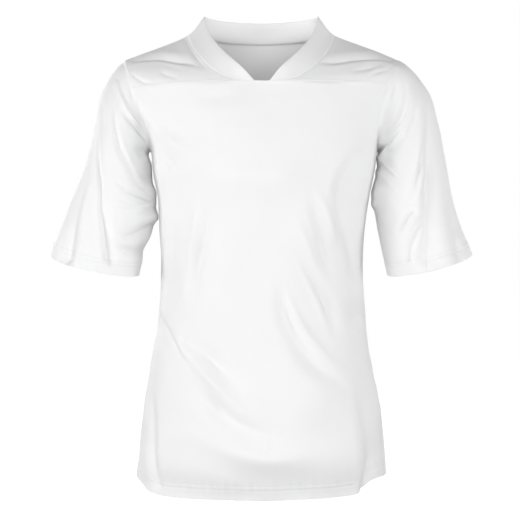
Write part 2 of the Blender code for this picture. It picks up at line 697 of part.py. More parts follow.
# ---------------------------------------------------------------- collar band
def band_grid():
    """Middle points and normals of the band, from the left foot of the V to the right one."""
    rise = np.linspace(0.0, 1.0, YOKE_FRONT_ROWS + 1)
    rise[0] = SEAM_GAP / NECK_FOOT_CLIMB
    inner = back_columns()
    inner = inner[np.abs(inner) < BACK_NECK - STEP]
    seam = []
    normals = []
    edge = []
    for side in (LEFT, RIGHT):
        front = yoke_front_surface(side)
        seam.append(front(np.zeros_like(rise), rise))
        normals.append(surface_normal(front, np.zeros_like(rise), rise) * side)
        edge.append(neck_curve(side, rise * NECK_POINT, "edge"))
    row = BACK_MIDDLE - (BACK_MIDDLE - NECK_POINT) * np.abs(inner) / BACK_NECK
    back_seam = yoke_back(inner, np.zeros_like(inner))
    back_normals = surface_normal(yoke_back, inner, np.zeros_like(inner))
    back_edge = np.where((inner < 0)[:, None], neck_curve(LEFT, row, "edge"),
                         neck_curve(RIGHT, row, "edge"))
    seam = np.concatenate([seam[0], back_seam, seam[1][::-1]])
    normals = np.concatenate([normals[0], back_normals, normals[1][::-1]])
    edge = np.concatenate([edge[0], back_edge, edge[1][::-1]])

    straight = edge - seam
    leave = straight - normals * np.sum(straight * normals, axis=1, keepdims=True)
    leave = unit(leave) * np.linalg.norm(straight, axis=1, keepdims=True)
    seam = seam + unit(leave) * SEAM_GAP * BAND_SEAM_SHARE
    share = np.linspace(0.0, 1.0, BAND_COLUMNS + 1)
    middle = np.array([hermite(seam, leave, edge, straight, np.full(len(seam), s)) for s in share])
    ahead = np.gradient(middle, axis=1)
    across = np.gradient(middle, axis=0)
    facing = -unit(np.cross(ahead, across))
    facing[0] = normals
    return middle, facing, BAND_WALL


# ---------------------------------------------------------------- the pieces
def build_body_panel(name, face, surface, columns, flip, material):
    """Front or back panel: hem, side seams, armhole edges and yoke seam."""
    trim = SEAM_GAP / 2
    side_share = trim / SIDE_SPAN
    top_share = trim / BODY_LENGTH
    across = np.clip(columns, -1.0 + side_share, 1.0 - side_share)
    rows_left = panel_rows(face, LEFT)
    rows_right = panel_rows(face, RIGHT)
    across_grid = np.broadcast_to(across, (len(rows_left), len(across)))
    share = ((across_grid + 1.0) / 2.0)
    up = np.minimum(rows_left[:, None] * (1.0 - share) + rows_right[:, None] * share, 1.0 - top_share)
    normals = surface_normal(surface, across_grid, up) * flip
    return build_wall(name, [(surface(across_grid, up), normals, CLOTH_WALL)], material)


def build_yoke(material):
    """One piece over both shoulders, from the front seam to the back seam."""
    over_trim = SEAM_GAP / 2 / SHOULDER_LENGTH
    over = np.linspace(0.0, 1.0, FRONT_SIDE_COLUMNS + 1)
    over[-1] -= over_trim
    rise = np.linspace(0.0, 1.0, YOKE_FRONT_ROWS + 1)
    rise[0] = SEAM_GAP / 2 / NECK_FOOT_CLIMB
    across = back_columns()
    across[[0, -1]] *= 1.0 - over_trim * (1.0 - BACK_NECK)
    fall = np.linspace(0.0, 1.0, YOKE_BACK_ROWS + 1)
    fall[-1] -= SEAM_GAP / 2 / BACK_YOKE_PULL
    left = grid_of(yoke_front_surface(LEFT), over, rise, LEFT, CLOTH_WALL)
    right = grid_of(yoke_front_surface(RIGHT), over, rise, RIGHT, CLOTH_WALL)
    back = grid_of(yoke_back, across, fall, 1, CLOTH_WALL)
    count = len(over)
    left_ridge = unit(left[1][-1] + back[1][0, :count][::-1])
    right_ridge = unit(right[1][-1] + back[1][0, -count:])
    left[1][-1] = left_ridge
    back[1][0, :count] = left_ridge[::-1]
    right[1][-1] = right_ridge
    back[1][0, -count:] = right_ridge
    return build_wall("yoke", [left, right, back], material)


def main():
    """Clear the file, then make the six pieces under one empty."""
    for old in list(bpy.data.objects):
        bpy.data.objects.remove(old)
    cloth = cloth_material("knitted_cloth", CLOTH_COLOUR)
    band = cloth_material("band_cloth", BAND_COLOUR)
    pieces = [
        build_body_panel("front_panel", "front", front_surface, front_columns(), 1, cloth),
        build_body_panel("back_panel", "back", back_surface, back_columns(), -1, cloth),
        build_yoke(cloth),
        build_wall("sleeve_left", [sleeve_grid(LEFT)], cloth),
        build_wall("sleeve_right", [sleeve_grid(RIGHT)], cloth),
        build_wall("collar_band", [band_grid()], band),
    ]
    garment = bpy.data.objects.new("jersey", None)
    bpy.context.scene.collection.objects.link(garment)
    for piece in pieces:
        piece.parent = garment


main()
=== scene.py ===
"""A white rugby jersey, hollow and filled out as it is worn: its cloth, creases and sewing.

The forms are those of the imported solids, laid out again as fine sheets of knit with their
creases, turned hems, pressed seams and stitches. Tables are in millimetres, settings in metres.
The front faces -Y, +Z is up, and left and right are those of a front view.
"""

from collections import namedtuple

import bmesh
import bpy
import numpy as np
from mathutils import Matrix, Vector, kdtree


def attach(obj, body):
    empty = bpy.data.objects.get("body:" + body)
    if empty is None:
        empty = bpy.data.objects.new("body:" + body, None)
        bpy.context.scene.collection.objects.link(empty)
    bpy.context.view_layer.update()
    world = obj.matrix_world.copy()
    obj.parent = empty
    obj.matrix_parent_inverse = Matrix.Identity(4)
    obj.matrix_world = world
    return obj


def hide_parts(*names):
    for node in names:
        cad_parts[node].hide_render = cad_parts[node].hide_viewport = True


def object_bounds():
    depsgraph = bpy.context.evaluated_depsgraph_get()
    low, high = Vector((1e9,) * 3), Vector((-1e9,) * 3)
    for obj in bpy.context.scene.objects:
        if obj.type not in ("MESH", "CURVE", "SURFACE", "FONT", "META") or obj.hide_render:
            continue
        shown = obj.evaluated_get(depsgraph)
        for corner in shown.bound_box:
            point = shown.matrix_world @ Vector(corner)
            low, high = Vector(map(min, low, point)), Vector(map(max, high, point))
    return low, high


bl_info = {
    "name": "Rugby jersey",
    "version": (1, 0, 0),
    "blender": (4, 5, 0),
    "location": "3D View > Sidebar > Jersey",
    "description": "Builds a half-sleeve V-neck jersey from its sewn pieces",
    "category": "Add Mesh",
}

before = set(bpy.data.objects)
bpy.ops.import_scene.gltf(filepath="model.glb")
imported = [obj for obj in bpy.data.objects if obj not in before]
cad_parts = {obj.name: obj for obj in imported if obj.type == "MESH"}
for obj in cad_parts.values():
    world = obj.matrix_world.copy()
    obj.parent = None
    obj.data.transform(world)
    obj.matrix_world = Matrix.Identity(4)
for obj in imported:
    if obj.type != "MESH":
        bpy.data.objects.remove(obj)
CAD_BOX = [list(corner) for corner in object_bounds()]

MM = 0.001
LEFT = -1
RIGHT = 1
SIDE_NAMES = {LEFT: "left", RIGHT: "right"}

# ---------------------------------------------------------------- sizes of the garment
ROUNDNESS = 2.4         # 2 is an ellipse; more is squarer in the corners
ARMPIT_HEIGHT = -163.0
FRONT_ARMHOLE_DEPTH = 48.0   # how far the armhole runs forward of the side seam
BACK_ARMHOLE_DEPTH = 58.0    # and behind it

SEAM_SWING = 0.30       # the left side seam swings forward at the hem, in radians
SWING_TOP = -540.0      # where that swing begins
SWING_LENGTH = 90.0

FRONT_SEAM_CENTRE = -64.5                    # yoke seam, front
FRONT_SEAM_END = {LEFT: -73.5, RIGHT: -66.5}
BACK_SEAM_CENTRE = -84.0                     # yoke seam, back
BACK_SEAM_END = -89.0

NECK_CENTRE = -1.2      # the neck sits a little left of the hem's middle
NECK_GAP = 0.055        # share of the front's half width left open at the foot of the V
BAND_FOOT = 0.18        # and where the band's outer edge meets the yoke seam
BACK_NECK = 0.62        # share of the back's half width below the back neck

SHOULDER_TIP = {LEFT: (-196.0, 5.0, -29.5), RIGHT: (193.0, 5.0, -29.0)}
SHOULDER_BOW = {LEFT: 0.4, RIGHT: 2.2}       # rise of the shoulder line between neck and tip
NECK_LIFT = 3.0         # the shoulder line curls up into the band
NECK_LIFT_REACH = 0.14

ARMHOLE_TURN = 2.6      # how quickly the armhole turns up from the armpit
ARMHOLE_SQUARENESS = 0.55    # less than 1 keeps its sides upright below the yoke seam
ARMPIT_EASE = 0.6       # share of the armhole's height over which the body fills out to it

# How far the yoke's cloth runs on in its direction at each seam and ridge before it turns.
FRONT_LIFT_NECK = 42.0  # up from the front seam, beside the neck and at the armhole
FRONT_LIFT_TIP = 66.0
FRONT_LEAN = 105.0      # and outwards below the neck
RIDGE_PULL_NECK = 80.0  # back over the shoulder line, beside the neck and at the tip
RIDGE_PULL_TIP = 68.0
RIDGE_TILT = 0.07       # rise of the cloth over the line beside the neck
BACK_RIDGE_PULL = 78.0  # behind the shoulder tip
NECK_POINT_PULL = 96.0  # behind the neck point
NECK_POINT_FAN = 60.0   # and outwards from it along the shoulder
BACK_NECK_LEAVE = (0.0, 26.0, -38.0)         # below the back neck
BACK_YOKE_PULL = 62.0   # into the back seam, at the sides
BACK_YOKE_EASE = 10.0   # less than that by so much in the middle
BACK_YOKE_ROUND = 16.0  # and more by so much below the neck points
BACK_YOKE_SOFTEN = 0.17      # how far across the cloth behind the neck point is evened out
SOFTEN_WEIGHTS = ((-1.0, 1 / 9), (-0.5, 2 / 9), (0.0, 3 / 9), (0.5, 2 / 9), (1.0, 1 / 9))

# Rounds of the body: half widths to the left and right, depths to the front and back.
Round = namedtuple("Round", "height left right front back")
TORSO = (
    Round(-660, 180.0, 178.5, 107, 105),
    Round(-630, 179.5, 178.0, 114, 109),
    Round(-580, 175.5, 175.5, 121, 112),
    Round(-530, 169.5, 169.5, 122, 109),
    Round(-480, 160.0, 160.0, 118, 101),
    Round(-430, 151.5, 150.5, 112, 91),
    Round(-380, 147.0, 146.0, 108, 84),
    Round(-330, 145.0, 144.5, 108, 83),
    Round(-270, 146.0, 147.5, 112, 88),
    Round(-225, 148.5, 154.0, 116, 95),
    Round(-190, 156.0, 160.5, 117, 99),
    Round(-163, 159.0, 163.5, 115, 101),
    Round(-110, 176.0, 176.0, 102, 100),
    Round(-64, 206.0, 200.0, 88, 93),
)

# Height of the shirt-tail hem, from the middle of the tail (0) round to the side (1).
HemPlace = namedtuple("HemPlace", "share left right")
HEM = (
    HemPlace(0.00, -655.5, -655.5),
    HemPlace(0.20, -654.5, -654.2),
    HemPlace(0.35, -653.2, -651.8),
    HemPlace(0.48, -651.5, -647.8),
    HemPlace(0.56, -649.5, -643.0),
    HemPlace(0.62, -647.0, -637.0),
    HemPlace(0.68, -643.0, -629.5),
    HemPlace(0.74, -635.5, -626.5),
    HemPlace(0.82, -629.0, -625.5),
    HemPlace(1.00, -626.5, -625.0),
)

# How far out the armhole edge lies at each height.
ArmholeEdge = namedtuple("ArmholeEdge", "height left right")
ARMHOLE = (
    ArmholeEdge(-163, 159.0, 163.5),
    ArmholeEdge(-150, 160.5, 164.0),
    ArmholeEdge(-130, 164.5, 165.0),
    ArmholeEdge(-110, 171.0, 167.5),
    ArmholeEdge(-90, 178.0, 171.5),
    ArmholeEdge(-66, 184.5, 177.0),
)

# The neck from the foot of the V round to the middle of the back, on the left side:
# the seam on the yoke, and the band's free edge. Sideways from the neck's centre.
NeckRow = namedtuple("NeckRow", "seam_x seam_y seam_z edge_x edge_y edge_z")
NECK = (
    NeckRow(-37.3, -88.0, -64.5, -10.5, -89.5, -64.5),
    NeckRow(-57.8, -80.0, -55.5, -26.8, -82.5, -46.0),
    NeckRow(-74.8, -68.0, -43.0, -42.8, -70.0, -31.0),
    NeckRow(-88.3, -51.0, -29.0, -58.3, -52.5, -15.5),
    NeckRow(-98.3, -30.0, -14.5, -70.3, -31.0, 1.0),
    NeckRow(-103.8, -10.0, -2.0, -78.0, -10.0, 18.0),
    NeckRow(-105.5, 8.0, 6.5, -82.3, 12.0, 33.5),
    NeckRow(-97.0, 38.0, 5.5, -74.8, 40.0, 33.5),
    NeckRow(-62.0, 65.0, 1.5, -48.8, 60.5, 31.0),
    NeckRow(0.0, 76.0, -1.5, 0.0, 69.0, 29.0),
)
NECK_POINT = 6          # the row where the shoulder line meets the neck
BACK_MIDDLE = 9         # the row at the middle of the back

# Rounds of a sleeve, each between an outer and an inner point of the front view:
# place along the sleeve, those points, depth of the middle, half depth, drop of the front.
SleeveRound = namedtuple("SleeveRound", "along out_x out_z in_x in_z middle depth dip")
SLEEVES = {
    LEFT: (
        SleeveRound(0.16, 229.0, -72, 163.5, -181, 4, 57, 0),
        SleeveRound(0.32, 241.5, -120, 160.0, -203, 1, 61, 0),
        SleeveRound(0.50, 256.5, -170, 155.5, -231, -2, 62, 0),
        SleeveRound(0.68, 274.5, -224, 154.5, -263, -4, 61, 1),
        SleeveRound(0.84, 289.0, -270, 168.0, -300, -6, 60, 4),
        SleeveRound(1.00, 303.0, -311, 177.0, -338, -8, 60, 8),
    ),
    RIGHT: (
        SleeveRound(0.16, 237.0, -72, 168.0, -181, 4, 57, 0),
        SleeveRound(0.32, 252.5, -120, 165.5, -203, 1, 61, 0),
        SleeveRound(0.50, 262.5, -170, 161.0, -231, -2, 62, 0),
        SleeveRound(0.68, 273.5, -224, 164.0, -263, -4, 61, 1),
        SleeveRound(0.84, 286.5, -270, 171.0, -300, -6, 60, 4),
        SleeveRound(1.00, 298.5, -310, 180.5, -338, -8, 60, 8),
    ),
}
SLEEVE_TURN = 26.0      # least pull of the cloth straight out of the armhole
SLEEVE_PULL = 0.9       # that pull as a share of the way to the first round
UNDERARM_SPREAD = 0.55  # how far the underarm leans out before it turns down
UNDERARM_REACH = 0.7    # over how much of the armhole, in radians

# ---------------------------------------------------------------- creases
# A crease's line in the front view (on the back, in the view through it), its half breadth
# at both ends, its depth at the start, middle and end (a trough is less than 0), how much
# broader its right or upper flank is, seen along a line that runs down or right, and how
# sharp it is, from 0 to 1.
Crease = namedtuple("Crease", "line breadths depths lean crisp")
CREASE_STEPS = 28       # straight steps in a crease's line
CREASE_REACH = 4.0      # half breadths from its line at which a crease has died out
CRISP_PULL = 1.9        # how quickly a sharp crease falls off
CRISP_ROUND = 0.22      # and how round its bottom is, in half breadths
CREASE_UNEVEN = 0.16    # share by which the depth comes and goes along a crease
CREASE_BEATS = 2.3      # and how often
LIP_PLACE = 1.9         # the cloth pushed up beside a crease, in half breadths from its line
LIP_BREADTH = 0.9
LIP_SHARE = 0.18
FRONT_CREASES = (
    # from the left armhole to the chest
    Crease(((-162, -116), (-142, -135), (-117, -160), (-92, -188)), (7, 11), (1.0, 3.0, 0), 0, 0.3),
    Crease(((-151, -160), (-129, -181), (-110, -205)), (6, 8), (0, -2.6, 0), 0, 0.4),
    # over the chest and below it
    Crease(((-112, -84), (-66, -89), (-17, -79)), (11, 11), (0, -1.3, 0), 0, 0.2),
    Crease(((-103, -208), (-52, -200), (0, -202), (53, -202), (89, -211)), (22, 22), (0, 3.2, 0), 0, 0),
    Crease(((139, -158), (117, -194), (110, -222), (113, -254), (126, -292), (133, -338), (134, -381)),
           (9, 15), (-1.5, -5.0, -1.0), 0.2, 0.2),
    Crease(((64, -219), (77, -269), (88, -317), (96, -348)), (5, 6), (0, -3.4, 0), 0, 0.4),
    Crease(((72, -209), (88, -244), (100, -289), (107, -320)), (5, 7), (0, 3.0, 0), 0, 0.3),
    Crease(((42, -250), (59, -286), (72, -320), (88, -352)), (6, 8), (0, 2.6, 0), 0, 0.2),
    Crease(((-77, -233), (-82, -278), (-89, -320), (-95, -361), (-91, -398)), (6, 8), (0, -3.4, 0), 0, 0.2),
    Crease(((-88, -227), (-98, -289), (-106, -328)), (6, 7), (0, 2.4, 0), 0, 0.2),
    Crease(((-120, -250), (-130, -303), (-133, -359), (-129, -403)), (11, 13), (0, -4.0, 0), 0, 0.1),
    # from the left of the waist down to the belly
    Crease(((-147, -396), (-138, -410), (-128, -426), (-115, -451), (-105, -465)),
           (9, 7), (-1.5, -4.0, 0), -0.5, 0.8),
    Crease(((-135, -407), (-118, -433), (-101, -455), (-81, -477), (-56, -499), (-25, -523), (3, -542)),
           (5, 6), (0, 3.0, 0), 0, 0.4),
    Crease(((-124, -418), (-106, -433), (-84, -449), (-69, -462), (-48, -480), (-31, -495), (-14, -508)),
           (7, 12), (0, -5.6, 0), 0.3, 0.3),
    Crease(((-109, -468), (-91, -493), (-64, -522), (-34, -544), (-3, -558), (17, -565)),
           (10, 10), (0, -6.4, 0), -0.2, 0.4),
    Crease(((7, -559), (8, -586)), (4, 4), (0, -1.0, 0), 0, 0.5),
    # from the middle of the waist down to the right
    Crease(((19, -320), (26, -359), (33, -387), (49, -426), (71, -458), (100, -480), (119, -498),
            (133, -521)), (7, 12), (0, -5.6, 0), -0.3, 0.3),
    Crease(((39, -373), (57, -412), (81, -442), (109, -472)), (6, 8), (0, 2.0, 0), 0, 0.2),
    Crease(((49, -306), (61, -328), (78, -356), (92, -387), (106, -437)), (5, 9), (0, -4.6, 0), 0.3, 0.4),
    Crease(((126, -359), (134, -398), (139, -435)), (13, 13), (0, -3.4, 0), 0, 0),
    # the tail
    Crease(((-131, -551), (-87, -565), (-34, -585), (0, -593), (53, -593), (102, -582), (131, -562)),
           (15, 19), (0, 5.0, 0), 0, 0.2),
    Crease(((-150, -640), (-59, -652), (0, -654), (60, -652), (140, -640)), (24, 24), (-4, -5.0, -4), 0, 0),
    Crease(((-154, -469), (-156, -529), (-155, -585), (-150, -636)), (5, 6), (0, -3, -3), 0, 0.3),
    Crease(((131, -474), (146, -528), (155, -585), (160, -645)), (12, 17), (0, -6, -8), 0.2, 0.2),
    Crease(((160, -584), (154, -614), (148, -645)), (6, 8), (0, -3, -4.5), 0, 0.5),
)
YOKE_CREASES = (
    Crease(((-182, -32), (-161, -30), (-144, -30), (-125, -34), (-99, -40), (-81, -47)),
           (4, 5), (-1, -3.4, 0), 0.3, 0.7),
    Crease(((-106, 3), (-95, -17), (-85, -34), (-74, -51)), (6, 6), (-1, -2.6, 0), 0, 0.2),
    Crease(((-182, -55), (-170, -64), (-156, -70)), (3.5, 3.5), (-1, -1.6, -0.5), 0, 0.8),
    Crease(((-149, -49), (-133, -56), (-116, -62)), (4, 4), (0, -1.3, 0), 0, 0.7),
    Crease(((66, -35), (100, -37), (117, -34), (134, -31), (167, -29), (192, -34)),
           (5, 4), (0, -3, -1), 0.3, 0.7),
    Crease(((120, -52), (146, -46), (170, -40)), (4, 4), (0, -1.4, -0.5), 0, 0.7),
    Crease(((147, -59), (165, -50), (184, -46)), (3.5, 3.5), (0, -1.2, -0.6), 0, 0.8),
    Crease(((69, -11), (71, -28), (72, -47)), (6, 6), (-0.5, -1.8, 0), 0, 0.2),
)
YOKE_BACK_CREASES = (
    Crease(((-168, -36), (-134, -44), (-98, -44)), (5, 7), (-0.8, -2, 0), 0, 0.5),
    Crease(((164, -38), (130, -46), (98, -46)), (5, 7), (-0.8, -2, 0), 0, 0.5),
)
BACK_CREASES = (
    Crease(((-138, -205), (-104, -262), (-72, -312), (-40, -352)), (12, 15), (-1, -6, 0), 0.3, 0.4),
    Crease(((132, -198), (104, -260), (70, -322), (36, -372)), (11, 14), (-1, -5.5, 0), -0.3, 0.4),
    Crease(((-118, -352), (-84, -366), (-44, -384), (-8, -398)), (9, 12), (0, -5, 0), 0.3, 0.6),
    Crease(((-126, -340), (-88, -352), (-46, -372)), (5, 6), (0, 2.2, 0), 0, 0.5),
    Crease(((110, -330), (80, -352), (44, -386), (12, -412)), (10, 12), (0, -5.5, 0), 0.3, 0.6),
    Crease(((120, -340), (90, -366), (56, -398)), (5, 6), (0, 2.2, 0), 0, 0.5),
    Crease(((-96, -452), (-58, -486), (-14, -520), (30, -548)), (11, 15), (0, -6, 0), 0.2, 0.5),
    Crease(((-90, -470), (-52, -504), (-8, -540)), (6, 7), (0, 2.6, 0), 0, 0.4),
    Crease(((88, -430), (60, -458), (22, -492), (-14, -520)), (10, 13), (0, 3.6, 0), 0, 0.2),
    Crease(((104, -452), (74, -486), (40, -520)), (7, 9), (0, -3.6, 0), 0, 0.6),
    Crease(((-132, -230), (-112, -286), (-100, -330)), (5, 8), (-1, -2.4, 0), 0, 0.6),
    Crease(((126, -226), (112, -270), (96, -318)), (5, 8), (-1, -2.4, 0), 0, 0.6),
    Crease(((-150, -470), (-152, -540), (-160, -632)), (9, 13), (0, -4, -5), 0, 0.4),
    Crease(((148, -460), (151, -540), (156, -632)), (8, 12), (0, -3.6, -4.5), 0, 0.4),
    Crease(((-120, -596), (-60, -612), (20, -616), (90, -606), (130, -590)), (16, 16), (0, 3.6, 0), 0, 0.2),
    Crease(((-58, -96), (-64, -150), (-76, -210)), (8, 12), (0, -1.6, 0), 0, 0.2),
    Crease(((62, -98), (70, -150), (80, -206)), (8, 12), (0, -1.6, 0), 0, 0.2),
)
SLEEVE_CREASES = {
    LEFT: (
        Crease(((-230, -90), (-233, -112), (-243, -151), (-254, -199), (-263, -232), (-271, -273),
                (-279, -314)), (6, 14), (0, -5.5, -7.5), -0.3, 0.2),
        Crease(((-229, -95), (-231, -135), (-232, -172), (-229, -215), (-228, -244), (-223, -273),
                (-219, -314)), (2.5, 7), (-0.8, -3.4, -5), 0.4, 0.6),
        Crease(((-165, -170), (-160, -188), (-156, -206), (-152, -222), (-150, -236)),
               (8, 7), (2.6, 4.6, 2.0), 0, 0),
        Crease(((-211, -73), (-209, -117), (-201, -158), (-189, -185), (-176, -209), (-165, -220)),
               (3, 5), (-0.8, -3.0, -1), -0.3, 0.6),
        Crease(((-203, -141), (-189, -175), (-176, -193)), (4, 4), (0, 2.2, 0), 0, 0.6),
        Crease(((-208, -64), (-204, -75), (-196, -97), (-185, -115), (-171, -134), (-161, -158)),
               (3, 3), (1.5, 3.0, 1.5), 0, 0.8),
        Crease(((-199, -101), (-190, -117), (-180, -127), (-167, -145), (-160, -161)),
               (4, 4), (0, -3.6, -2.5), 0, 0.7),
        Crease(((-192, -129), (-176, -142), (-161, -161)), (3, 3), (0, 1.8, 1), 0, 0.8),
        Crease(((-186, -161), (-170, -164), (-156, -171)), (6, 7), (0, -3.4, -3), 0, 0.3),
        Crease(((-178, -186), (-163, -198), (-148, -209)), (6, 8), (0, -3.6, -5), 0, 0.3),
        Crease(((-202, -218), (-186, -222), (-172, -227), (-159, -233)),
               (3.5, 3.5), (0, -2.6, -1), 0.3, 0.8),
        Crease(((-205, -224), (-180, -232), (-159, -239)), (3, 3), (0, 1.8, 1), 0, 0.7),
        Crease(((-189, -252), (-169, -245), (-156, -234)), (3.5, 3.5), (0, 2, 1), 0, 0.6),
        Crease(((-214, -237), (-195, -247), (-176, -243)), (5, 5), (0, -1.6, 0), 0, 0.5),
        Crease(((-212, -269), (-202, -278), (-192, -284), (-172, -276), (-156, -267)),
               (5, 5), (0, -2.8, -2), 0, 0.6),
        Crease(((-214, -288), (-196, -302), (-179, -306), (-159, -298)), (6, 6), (0, -3.2, -3), 0, 0.4),
        Crease(((-190, -264), (-169, -259), (-145, -250)), (8, 8), (0, 2.4, 2.6), 0, 0),
        Crease(((-207, -202), (-199, -212), (-186, -217)), (3.5, 3.5), (0, -1.7, 0), 0, 0.8),
        Crease(((-196, -47), (-187, -75), (-175, -104)), (3, 3), (0, -1.2, 0), 0, 0.6),
    ),
    RIGHT: (
        Crease(((234, -75), (236, -97), (237, -131), (236, -172), (235, -209), (234, -244), (231, -314)),
               (6, 11), (0, -6, -5), 0.2, 0.4),
        Crease(((229, -144), (225, -172), (219, -199), (212, -222), (204, -243)),
               (3, 4), (0, -3.6, 0), 0.3, 0.8),
        Crease(((234, -161), (228, -203), (219, -236)), (3, 3.5), (0, 1.4, 0), 0, 0.5),
        Crease(((224, -242), (210, -254), (199, -273), (194, -286)), (3.5, 4), (0, -3.4, 0), 0, 0.8),
        Crease(((229, -249), (216, -261), (203, -283)), (3, 3.5), (0, 1.8, 0), 0, 0.6),
        Crease(((230, -261), (217, -283), (211, -298), (209, -317)), (3, 5), (0, -3.4, -2.5), 0, 0.7),
        Crease(((162, -161), (176, -179), (187, -193), (199, -209)), (3, 3), (1.5, 2.8, 0), 0, 0.8),
        Crease(((170, -183), (183, -198), (194, -212)), (4, 4), (-1, -2.4, 0), 0, 0.6),
        Crease(((158, -172), (169, -158), (176, -151), (186, -141)), (3.5, 3), (-5, -4.5, 0), 0, 0.8),
        Crease(((175, -163), (192, -142), (203, -117), (214, -94), (219, -74)),
               (4, 4), (1, 2.8, 0), 0, 0.6),
        Crease(((185, -161), (203, -136), (214, -112), (223, -94)), (4, 4), (-1, -2, 0), 0, 0.5),
        Crease(((172, -144), (187, -131), (201, -105), (208, -85)), (3.5, 3.5), (0.5, 2, 0), 0, 0.6),
        Crease(((177, -154), (193, -130), (205, -107)), (3, 3), (-1, -1.8, 0), 0, 0.6),
        Crease(((187, -39), (187, -60), (183, -83), (176, -107)), (3, 3), (-0.5, -1.4, 0), 0, 0.7),
        Crease(((200, -48), (203, -71), (199, -92), (187, -115)), (3, 3), (0, -1.6, 0), 0, 0.7),
        Crease(((267, -239), (277, -277), (282, -317)), (7, 10), (0, -3, -5), 0, 0.2),
        Crease(((194, -220), (194, -260), (197, -314)), (8, 9), (0, 2, 1.5), 0, 0),
        Crease(((166, -180), (162, -196), (159, -212), (157, -236)), (8, 9), (2.0, 4.2, 4.0), 0, 0),
        Crease(((167, -198), (185, -217), (193, -240)), (5, 5), (-1, -1.6, 0), 0, 0.3),
    ),
}
SLEEVE_BACK_CREASES = (
    Crease(((238, -104), (250, -168), (260, -234), (270, -318)), (5, 11), (0, -4.5, -5), 0.3, 0.5),
    Crease(((214, -92), (202, -140), (196, -188), (192, -240)), (5, 8), (-0.5, -3.8, 0), -0.3, 0.6),
    Crease(((226, -186), (222, -240), (218, -282), (216, -326)), (4, 7), (0, -3.2, -3.5), 0.3, 0.7),
    Crease(((178, -162), (192, -182), (206, -196)), (4, 5), (-1.5, -2.6, 0), 0, 0.7),
    Crease(((176, -172), (190, -194), (204, -210)), (4, 5), (1, 2, 0), 0, 0.6),
    Crease(((172, -196), (188, -220), (206, -236)), (5, 6), (-2, -2.4, 0), 0, 0.5),
    Crease(((176, -252), (192, -266), (208, -262)), (5, 6), (-1.5, -2.2, 0), 0, 0.5),
    Crease(((206, -72), (216, -100), (232, -128)), (3.5, 5), (0, -1.6, 0), 0, 0.6),
)
SEAM_EASE = 5.0         # creases die out so close to a seam
RIDGE_EASE = 0.08       # share of the yoke over which they die out at the shoulder line
FACING_START = 0.35     # a sleeve's front creases end where the cloth turns so far to the back
FACING_EASE = 0.5

# Soft unevenness of the whole cloth: wave length across and up, height and start.
Wave = namedtuple("Wave", "length_x length_z height start")
WAVES = (
    Wave(173.0, 241.0, 0.7, 0.4),
    Wave(-118.0, 197.0, 0.5, 2.1),
    Wave(87.0, -143.0, 0.3, 4.4),
)

# ---------------------------------------------------------------- sewing
SEAM_TRIM = 0.01        # each piece stops so far short of the seam's line
SEAM_GROOVE = 0.10      # a seam is pressed in, and its allowance lifts the cloth beside it
SEAM_GROOVE_REACH = 0.6
ALLOWANCE_LIFT = 0.08
ALLOWANCE_WIDTH = 6.0
ALLOWANCE_EDGE = 1.5
YOKE_EDGE_LIFT = 0.4    # the yoke's turned edge stands proud of the panels
YOKE_EDGE_WIDTH = 2.6
YOKE_EDGE_EASE = 0.8
HEM_DEPTH = 20.0        # height of the turned hem
CUFF_DEPTH = 20.0
HEM_LIFT = 0.45         # the hem is double cloth
HEM_GROOVE = 0.4        # its stitches pull it in
HEM_GROOVE_REACH = 0.9
NEEDLE_GAP = 5.0        # between the two rows of hem stitches
PUCKERS = ((11.3, 0.10, 0.2), (17.9, 0.12, 1.7), (31.0, 0.12, 3.3))    # length, height, start
PUCKER_REACH = 9.0
GATHERS = ((19.0, 0.16, 0.5), (33.0, 0.30, 2.2), (52.0, 0.35, 4.0))
GATHER_REACH = 16.0
LINE_STEP = 0.8         # spacing of the points that stand for a seam

# Distances from a piece's edge where its sheet has a row, before the even rows begin.
SEAM_ROWS = (0.0, 0.5, 1.1, 1.8, 2.6, 3.8, 5.4)
HEM_ROWS = (0.0, 0.6, 1.5, 3.0, 5.5, 8.5, 11.5, 13.6, 14.4, 15.0, 15.6, 16.4, 18.0, 19.2,
            20.0, 20.8, 22.0, 24.0)
FIRST_NEEDLE = HEM_ROWS.index(15.0)
SECOND_NEEDLE = HEM_ROWS.index(20.0)
YOKE_NEEDLE = SEAM_ROWS.index(1.8)

STITCH_PLACES = np.array([0.0, 0.25, 0.75, 1.0])    # points of a stitch, as shares of its length
STITCH_RISE = np.array([-0.35, 0.3, 0.3, -0.35])    # and their height, as shares of the thread

STEP = 1e-3             # parameter step for slopes
MERGE = 2e-6            # metres, to join sheets along a shared line


